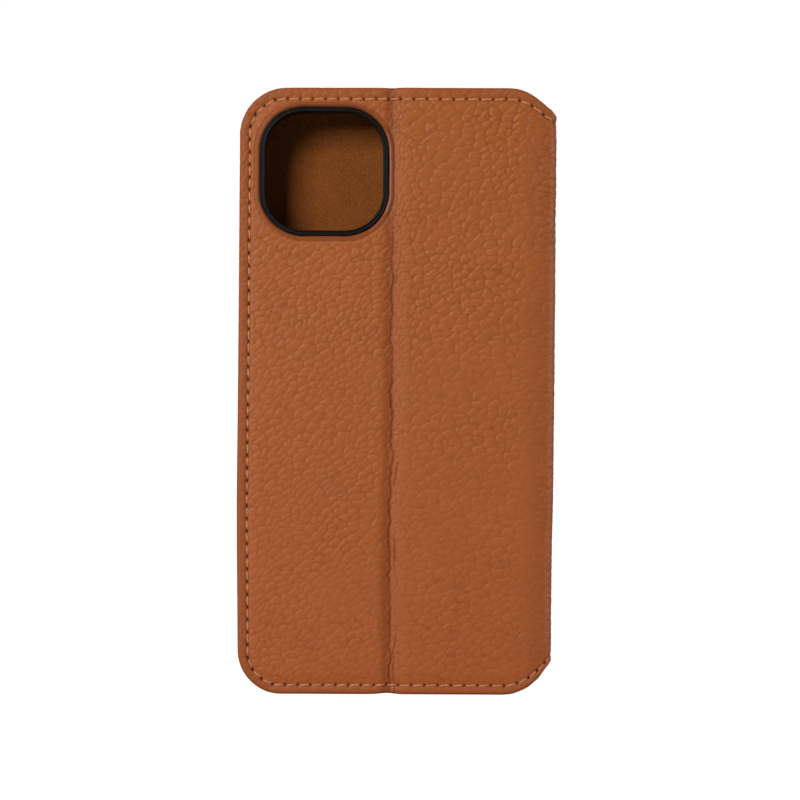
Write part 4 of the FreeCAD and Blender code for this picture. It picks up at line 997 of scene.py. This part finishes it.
# --------------------------------------------------------------------- thread
def thread(name, stitches, radius=0.21, lift=0.10, slant=4.0, base=-0.31, inner=False):
    """Stitches laid in the flat leather and carried round the spine with it."""
    n_seg, n_side = 12, 8
    flat, faces = [], []
    rnd = np.random.RandomState(12)
    total = 0
    for ss, sz, turn, step in stitches:
        front = ss > (S2 + S3) / 2
        a = turn + math.radians(slant + 3.0 * (rnd.rand() - 0.5)) * (-1 if front else 1)
        length = (step - 0.72) * (1 + 0.05 * (rnd.rand() - 0.5))
        ca, sa = math.cos(a), math.sin(a)
        for i in range(n_seg + 1):
            f = i / n_seg
            t = (f - 0.5) * length
            arch = math.sin(math.pi * min(max(f, 0.0), 1.0))
            rise = lift * arch ** 0.6 - 0.32 * (1 - arch ** 0.35)
            rr = radius * (0.60 + 0.40 * max(arch, 0.02) ** 0.35)
            for j in range(n_side):
                th = 2 * math.pi * j / n_side
                ply = 1 + 0.16 * math.cos(2 * (th - f * 5.2))
                q, up = rr * ply * math.cos(th), rr * ply * math.sin(th) * 0.85
                flat.append((ss + t * ca - q * sa, sz + t * sa + q * ca, base + rise + up))
        for i in range(n_seg):
            for j in range(n_side):
                k = (j + 1) % n_side
                faces.append((total + i * n_side + j, total + i * n_side + k,
                              total + (i + 1) * n_side + k, total + (i + 1) * n_side + j))
        here = total
        total += (n_seg + 1) * n_side
        flat.append((ss - length / 2 * ca, sz - length / 2 * sa, base - 0.45))
        flat.append((ss + length / 2 * ca, sz + length / 2 * sa, base - 0.45))
        for j in range(n_side):
            k = (j + 1) % n_side
            faces.append((here + k, here + j, total, -1))
            faces.append((here + n_seg * n_side + j, here + n_seg * n_side + k, total + 1, -1))
        total += 2
    flat = np.array(flat)
    out = flat[:, 2]
    if inner:
        out = -2.05 - (out - base) * 0.8
    ob = make_mesh(name, place(flat[:, 0], flat[:, 1], out), faces)
    paint(ob, THREAD)
    return ob


t_back = thread("thread_back", SEAM_BACK)
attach(t_back, "back_panel")
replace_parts(t_back, "back_stitching")
t_flap = thread("thread_flap", SEAM_FLAP)
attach(t_flap, "stand_flap")
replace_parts(t_flap, "flap_stitching")
t_front = thread("thread_cover", SEAM_FRONT)
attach(t_front, "front_cover")
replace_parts(t_front, "front_stitching")
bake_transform(thread("thread_crease", SEAM_CREASE))
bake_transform(thread("thread_spine_back", SEAM_SPINE_BACK))
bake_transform(thread("thread_spine_front", SEAM_SPINE_FRONT))

for ob in strips:
    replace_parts(ob, "back_leather", "flap_leather")
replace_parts(skin_spine, "spine_leather")
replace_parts(skin_front, "front_leather")
for ob in strips:
    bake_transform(ob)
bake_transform(skin_spine)
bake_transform(skin_front)


# --------------------------------------------------------------- suede linings
def inset_z(x, m, low):
    r = CORNER_LOW if low else CORNER_TOP
    left = np.clip(-HALF_W + r - x, 0, r - m)
    run = np.sqrt(np.maximum((r - m) ** 2 - left ** 2, 0))
    if low:
        return r - run + np.interp(x, LOW_X, LOW_Z) * 1.02
    return HEIGHT - r + run - np.interp(x, HIGH_X, HIGH_Z) * 1.02


def lining(name, s0, s1, step, depth, margin=1.7, hole=False):
    """The suede sheet on the inside, following the leather at a fixed depth."""
    r = CORNER_TOP
    bow = (r - margin) * (1 - np.cos(np.radians(np.linspace(0, 90, 15))))
    a = s0 + (bow[-1] if s0 < 10 else 0)
    b = s1 - (bow[-1] if s1 > S_END - 10 else 0)
    col = np.linspace(a, b, int(round((b - a) / step)) + 1)
    if s0 < 10:
        col = np.concatenate([s0 + bow[:-1], col])
    if s1 > S_END - 10:
        col = np.concatenate([col, (s1 - bow[:-1])[::-1]])
    x = section(col)[0]
    lo, hi = inset_z(x, margin, True), inset_z(x, margin, False)
    f = np.linspace(0, 1, int(148 / step) + 1)
    z = lo[:, None] + (hi - lo)[:, None] * f[None, :]
    s = np.repeat(col[:, None], z.shape[1], 1)
    nc, nr = s.shape
    idx = np.arange(nc * nr).reshape(nc, nr)
    faces = np.stack([idx[:-1, :-1], idx[:-1, 1:], idx[1:, 1:], idx[1:, :-1]], -1).reshape(-1, 4)
    if hole:
        s, z, faces = open_hole(s, z, faces, 1.2)
    d = np.minimum(np.minimum(s - s0 + (9 if s0 > 10 else 0), s1 - s + (9 if s1 < S_END - 10 else 0)),
                   np.minimum(z - lo[:, None], hi[:, None] - z))
    out = -depth + 0.05 * fbm(s / 9, z / 9, 401, 2) * smooth(0, 4, d) + 0.09 * (1 - smooth(0.0, 0.5, d))
    seam = seam_field(s, z)[0]
    out = out + 0.10 * seam
    verts = place(s.ravel(), z.ravel(), out.ravel())
    # a short skirt closes the sheet's outer edge
    run = list(idx[::-1, 0]) if s0 < 10 else []
    if s0 < 10:
        run = list(idx[::-1, 0]) + list(idx[0, 1:-1]) + list(idx[:, -1])
        runs = [run]
    elif s1 > S_END - 10:
        runs = [list(idx[:, 0]) + list(idx[-1, 1:-1]) + list(idx[::-1, -1])]
    else:
        runs = [list(idx[:, 0]), list(idx[::-1, -1])]
    total = len(verts)
    more_v, more_f = [], []
    for run in runs:
        run = np.array(run)
        more_v.append(place(s.ravel()[run], z.ravel()[run], np.full(len(run), -depth + 0.35)))
        cur = total + np.arange(len(run))
        total += len(run)
        more_f.append(np.stack([run[:-1], cur[:-1], cur[1:], run[1:]], -1))
    verts = np.concatenate([verts] + more_v)
    faces = np.concatenate([faces] + more_f)
    used = np.unique(faces)
    remap = np.full(len(verts), -1)
    remap[used] = np.arange(len(used))
    ob = make_mesh(name, verts[used], remap[faces])
    paint(ob, SUEDE)
    return ob


lin_back = lining("lining_back_and_flap", 1.7, CUT_AB, 0.9, 1.93, hole=True)
lin_spine = lining("lining_flap_to_spine", CUT_AB, CUT_BC, 0.5, 1.93)
lin_front = lining("lining_spine_to_cover", CUT_BC, S_END - 1.7, 0.9, 1.99)
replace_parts(lin_back, "back_lining", "flap_lining")
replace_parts(lin_spine, "spine_lining")
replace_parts(lin_front, "front_lining")
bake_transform(lin_back)
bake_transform(lin_spine)
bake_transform(lin_front)
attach(thread("thread_cover_inside", SEAM_FRONT, radius=0.24, inner=True), "front_cover")

# ------------------------------------------------------------------ CAD nodes
for node in ("phone_tray", "side_button_pad", "volume_up_pad", "volume_down_pad"):
    paint_cad(node, RUBBER)
for node in ("back_board", "flap_board", "front_board"):
    paint_cad(node, BOARD)
paint_cad("spine_board", STIFF)
paint_cad("tray_adhesive", GLUE)
for node in ("keeper_strips", "closure_magnets"):
    paint_cad(node, STEEL)


def panel(name, x0, x1, z0, z1, face, thick, r0, r1, notch, seed):
    """A pocket panel: rounded lower corners, a shallow thumb notch in its turned upper edge, grained face."""
    step = 0.55
    def side(r):
        return r * (1 - np.cos(np.radians(np.linspace(0, 90, 20))))
    col = np.concatenate([x0 + side(r0)[:-1], np.linspace(x0 + r0, x1 - r1, int((x1 - x0 - r0 - r1) / step)),
                          (x1 - side(r1)[:-1])[::-1]])
    a, b = np.clip(x0 + r0 - col, 0, r0), np.clip(col - x1 + r1, 0, r1)
    lo = z0 + np.where(a > 0, r0 - np.sqrt(np.maximum(r0 ** 2 - a ** 2, 0)), 0) + np.where(b > 0, r1 - np.sqrt(np.maximum(r1 ** 2 - b ** 2, 0)), 0)
    hi = np.full(len(col), z1)
    if notch:
        cx, radius, depth = notch
        hi = hi - np.maximum(np.sqrt(np.maximum(radius ** 2 - (col - cx) ** 2, 0)) - (radius - depth), 0)
    edge_rows = np.array([0, 0.05, 0.16, 0.34, 0.6])
    inner = np.linspace(0, 1, int((z1 - z0) / step))[None, :]
    low, high = lo[:, None], hi[:, None]
    z = np.concatenate([low + edge_rows[None, :-1], low + 0.6 + (high - low - 1.2) * inner, (high - edge_rows[None, :-1])[:, ::-1]], 1)
    x = np.repeat(col[:, None], z.shape[1], 1)
    nc, nr = x.shape
    d = np.minimum(np.minimum(x - x0, x1 - x), np.minimum(z - low, high - z))
    height, crack, node, cell, painted_highlight = pebbles(x, z, 25, 1.7, 1.3, seed, 0.08)
    t = np.clip(0.30 - d, 0, 0.30)
    h = 0.05 * (height - 0.6) - 0.02 * crack + 0.06 * fbm(x / 14, z / 14, seed + 3, 2)
    h = h + 0.10 * (1 - smooth(3.0, 3.5, high - z)) - 0.10 * bell(high - z - 3.25, 0.22)
    h = h - 0.14 * bell(high - z - 1.75, 0.30) - (0.30 - np.sqrt(np.maximum(0.09 - t ** 2, 0)))
    y = face - h - 0.02
    idx = np.arange(nc * nr).reshape(nc, nr)
    faces = np.stack([idx[:-1, :-1], idx[1:, :-1], idx[1:, 1:], idx[:-1, 1:]], -1).reshape(-1, 4)
    rim = np.array(list(idx[:, 0]) + list(idx[-1, 1:]) + list(idx[-2::-1, -1]) + list(idx[0, -2:0:-1]))
    verts = np.stack([x.ravel(), y.ravel(), z.ravel()], -1)
    skirt = verts[rim].copy()
    skirt[:, 1] = face + thick
    cur = len(verts) + np.arange(len(rim))
    nxt = np.roll(np.arange(len(rim)), -1)
    quads = np.stack([rim, cur, cur[nxt], rim[nxt]], -1)
    ob = make_mesh(name, np.concatenate([verts, skirt]), np.concatenate([faces, quads]))
    n = len(rim)
    # painted highlight along the pebbles' upper-left edges, and painted shade in the groove under the pocket's turned
    # top edge
    for key, val in (("cell", cell), ("crack", crack * 0.6), ("peak", np.clip(height - 0.62, 0, 1)), ("painted_highlight", painted_highlight * 0.5),
                     ("crease_shade", 0.6 * bell(high - z - 3.25, 0.25))):
        attribute(ob, key, np.concatenate([np.asarray(val).ravel(), np.zeros(n)]))
    attribute(ob, "rim", np.concatenate([(1 - smooth(0.3, 0.7, d)).ravel(), np.ones(n)]))
    for key in ("holes", "ridge_highlight", "lip", "fold_shade"):
        attribute(ob, key, np.zeros(nc * nr + n))
    flat_attribute(ob, np.concatenate([np.stack([x.ravel() + 300, z.ravel(), np.full(x.size, seed * 1.0)], -1),
                                       np.stack([skirt[:, 0] + 300, skirt[:, 2], skirt[:, 1]], -1)]))
    paint(ob, LEATHER)
    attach(ob, "front_cover")
    return ob


PANELS = (("cash_pocket_panel", -38.0, 31.0, 1.4, 112.0, 5.5, 8.6, 6.4, None, 501),
          ("card_pocket_upper", -35.2, 28.0, 3.6, 103.6, 5.0, 6.4, 6.4, (-3.6, 8.0, 2.75), 521),
          ("card_pocket_middle", -35.2, 28.0, 3.6, 91.6, 4.5, 6.4, 6.4, (-3.6, 8.0, 2.75), 541),
          ("card_pocket_lower", -35.2, 28.0, 3.6, 79.6, 4.0, 6.4, 6.4, (-3.6, 8.0, 2.75), 561))
for node, x0, x1, z0, z1, face, r0, r1, notch, seed in PANELS:
    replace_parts(panel(node + "_leather", x0, x1, z0, z1, face, 0.46, r0, r1, notch, seed), node)


def pocket_thread(name, lines, face):
    """Running stitches on a pocket face, which looks to -Y."""
    n_seg, n_side = 8, 6
    verts, faces = [], []
    for (xa, za), (xb, zb) in lines:
        length = math.hypot(xb - xa, zb - za)
        count = max(1, int(round(length / 2.6)))
        ux, uz = (xb - xa) / length, (zb - za) / length
        for k in range(count):
            mid = (k + 0.5) * length / count
            run = length / count - 0.8
            base = len(verts)
            for i in range(n_seg + 1):
                f = i / n_seg
                t = mid + (f - 0.5) * run
                arch = math.sin(math.pi * f)
                for j in range(n_side):
                    th = 2 * math.pi * j / n_side
                    q, up = 0.19 * math.cos(th), 0.17 * math.sin(th)
                    verts.append((xa + ux * t - uz * q, face - (0.10 * arch ** 0.6 - 0.22 * (1 - arch ** 0.4)) - up, za + uz * t + ux * q))
            for i in range(n_seg):
                for j in range(n_side):
                    m = (j + 1) % n_side
                    faces.append((base + i * n_side + j, base + i * n_side + m, base + (i + 1) * n_side + m, base + (i + 1) * n_side + j))
    ob = make_mesh(name, verts, faces)
    paint(ob, THREAD)
    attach(ob, "front_cover")
    return ob


tops = []
for node, x0, x1, z0, z1, face, r0, r1, notch, seed in PANELS:
    gap = 12.0 if notch else 0
    zt = z1 - 1.75
    if notch:
        tops.append(([((x0 + 1.5, zt), (-3.6 - 7.5, zt)), ((-3.6 + 7.5, zt), (x1 - 1.5, zt))], face))
    else:
        tops.append(([((x0 + 1.5, zt), (x1 - 1.5, zt))], face))
for i, (lines, face) in enumerate(tops):
    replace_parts(pocket_thread("pocket_top_thread_%d" % i, lines, face), "pocket_stitching")
side_l, side_r, side_low, bend = -36.6, 29.4, 2.4, 7.2
ring_l = [(side_l + bend - bend * math.cos(a), side_low + bend - bend * math.sin(a)) for a in np.radians(np.linspace(0, 90, 5))]
ring_r = [(side_r - bend + bend * math.cos(a), side_low + bend - bend * math.sin(a)) for a in np.radians(np.linspace(0, 90, 5))]
outline = [((side_l, 109.0), ring_l[0]), ((side_r, 109.0), ring_r[0]), (ring_l[-1], ring_r[-1])]
outline += list(zip(ring_l[:-1], ring_l[1:])) + list(zip(ring_r[:-1], ring_r[1:]))
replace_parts(pocket_thread("pocket_side_thread", outline, 5.5), "pocket_stitching")

# -------------------------------------------------------------- stage, camera
def stage_plane():
    me = bpy.data.meshes.new("floor")
    pts, faces = [], []
    prof = [(-0.9, 0.0), (0.9, 0.0)]
    prof += [(0.9 + 0.5 * math.sin(a), 0.5 - 0.5 * math.cos(a)) for a in np.radians(np.linspace(8, 90, 14))]
    prof += [(1.4, 2.4)]
    for y, z in prof:
        pts += [(-2.4, y, z), (2.4, y, z)]
    for i in range(len(prof) - 1):
        faces.append((2 * i, 2 * i + 1, 2 * i + 3, 2 * i + 2))
    me.from_pydata(pts, [], faces)
    me.shade_smooth()
    ob = bpy.data.objects.new("floor", me)
    bpy.context.scene.collection.objects.link(ob)
    mat = bpy.data.materials.new("white_sweep")
    mat.use_nodes = True
    nt = mat.node_tree
    nt.nodes.clear()
    out = nt.nodes.new("ShaderNodeOutputMaterial")
    add = nt.nodes.new("ShaderNodeMixShader")
    em = nt.nodes.new("ShaderNodeEmission")
    di = nt.nodes.new("ShaderNodeBsdfDiffuse")
    em.inputs[0].default_value = (1, 1, 1, 1)
    path = nt.nodes.new("ShaderNodeLightPath")
    level = nt.nodes.new("ShaderNodeMapRange")
    level.inputs[3].default_value = 0.13
    level.inputs[4].default_value = 1.15
    nt.links.new(path.outputs["Is Camera Ray"], level.inputs[0])
    nt.links.new(level.outputs[0], em.inputs[1])
    di.inputs[0].default_value = (0.9, 0.9, 0.9, 1)
    add.inputs[0].default_value = 0.15
    nt.links.new(em.outputs[0], add.inputs[1])
    nt.links.new(di.outputs[0], add.inputs[2])
    nt.links.new(add.outputs[0], out.inputs[0])
    ob.data.materials.append(mat)
    return ob


stage_plane()

world = bpy.data.worlds.new("studio")
bpy.context.scene.world = world
world.use_nodes = True
bg = world.node_tree.nodes["Background"]
bg.inputs[0].default_value = (1.0, 1.0, 1.0, 1.0)
wn = world.node_tree
seen = wn.nodes.new("ShaderNodeLightPath")
gain = wn.nodes.new("ShaderNodeMapRange")
gain.inputs[3].default_value = 0.09
gain.inputs[4].default_value = 1.05
wn.links.new(seen.outputs["Is Camera Ray"], gain.inputs[0])
wn.links.new(gain.outputs[0], bg.inputs[1])


def area(name, loc, target, size, power, color=(1, 1, 1)):
    data = bpy.data.lights.new(name, "AREA")
    data.shape = "RECTANGLE"
    data.size, data.size_y = size
    data.energy = power
    data.color = color
    ob = bpy.data.objects.new(name, data)
    bpy.context.scene.collection.objects.link(ob)
    ob.location = loc
    ob.rotation_euler = (Vector(target) - Vector(loc)).to_track_quat("-Z", "Y").to_euler()
    return ob


area("key", (-0.52, -0.84, 0.42), (-0.005, 0, 0.08), (0.42, 0.42), 9.4)
area("fill_right", (0.85, -0.07, 0.12), (0.035, 0, 0.075), (0.26, 0.6), 5.0)
area("inside_back", (-0.35, 0.85, 0.5), (0, 0, 0.08), (0.8, 0.8), 11.0)

cam_data = bpy.data.cameras.new("camera")
cam_data.lens = 81.3
cam_data.sensor_width = 36.0
cam = bpy.data.objects.new("camera", cam_data)
bpy.context.scene.collection.objects.link(cam)
cam.location = (0.00087, -0.458, 0.07346)
cam.rotation_euler = (math.radians(90), math.radians(-0.27), 0)
bpy.context.scene.camera = cam
bpy.context.scene.view_settings.view_transform = "Standard"
bpy.context.scene.view_settings.look = "None"
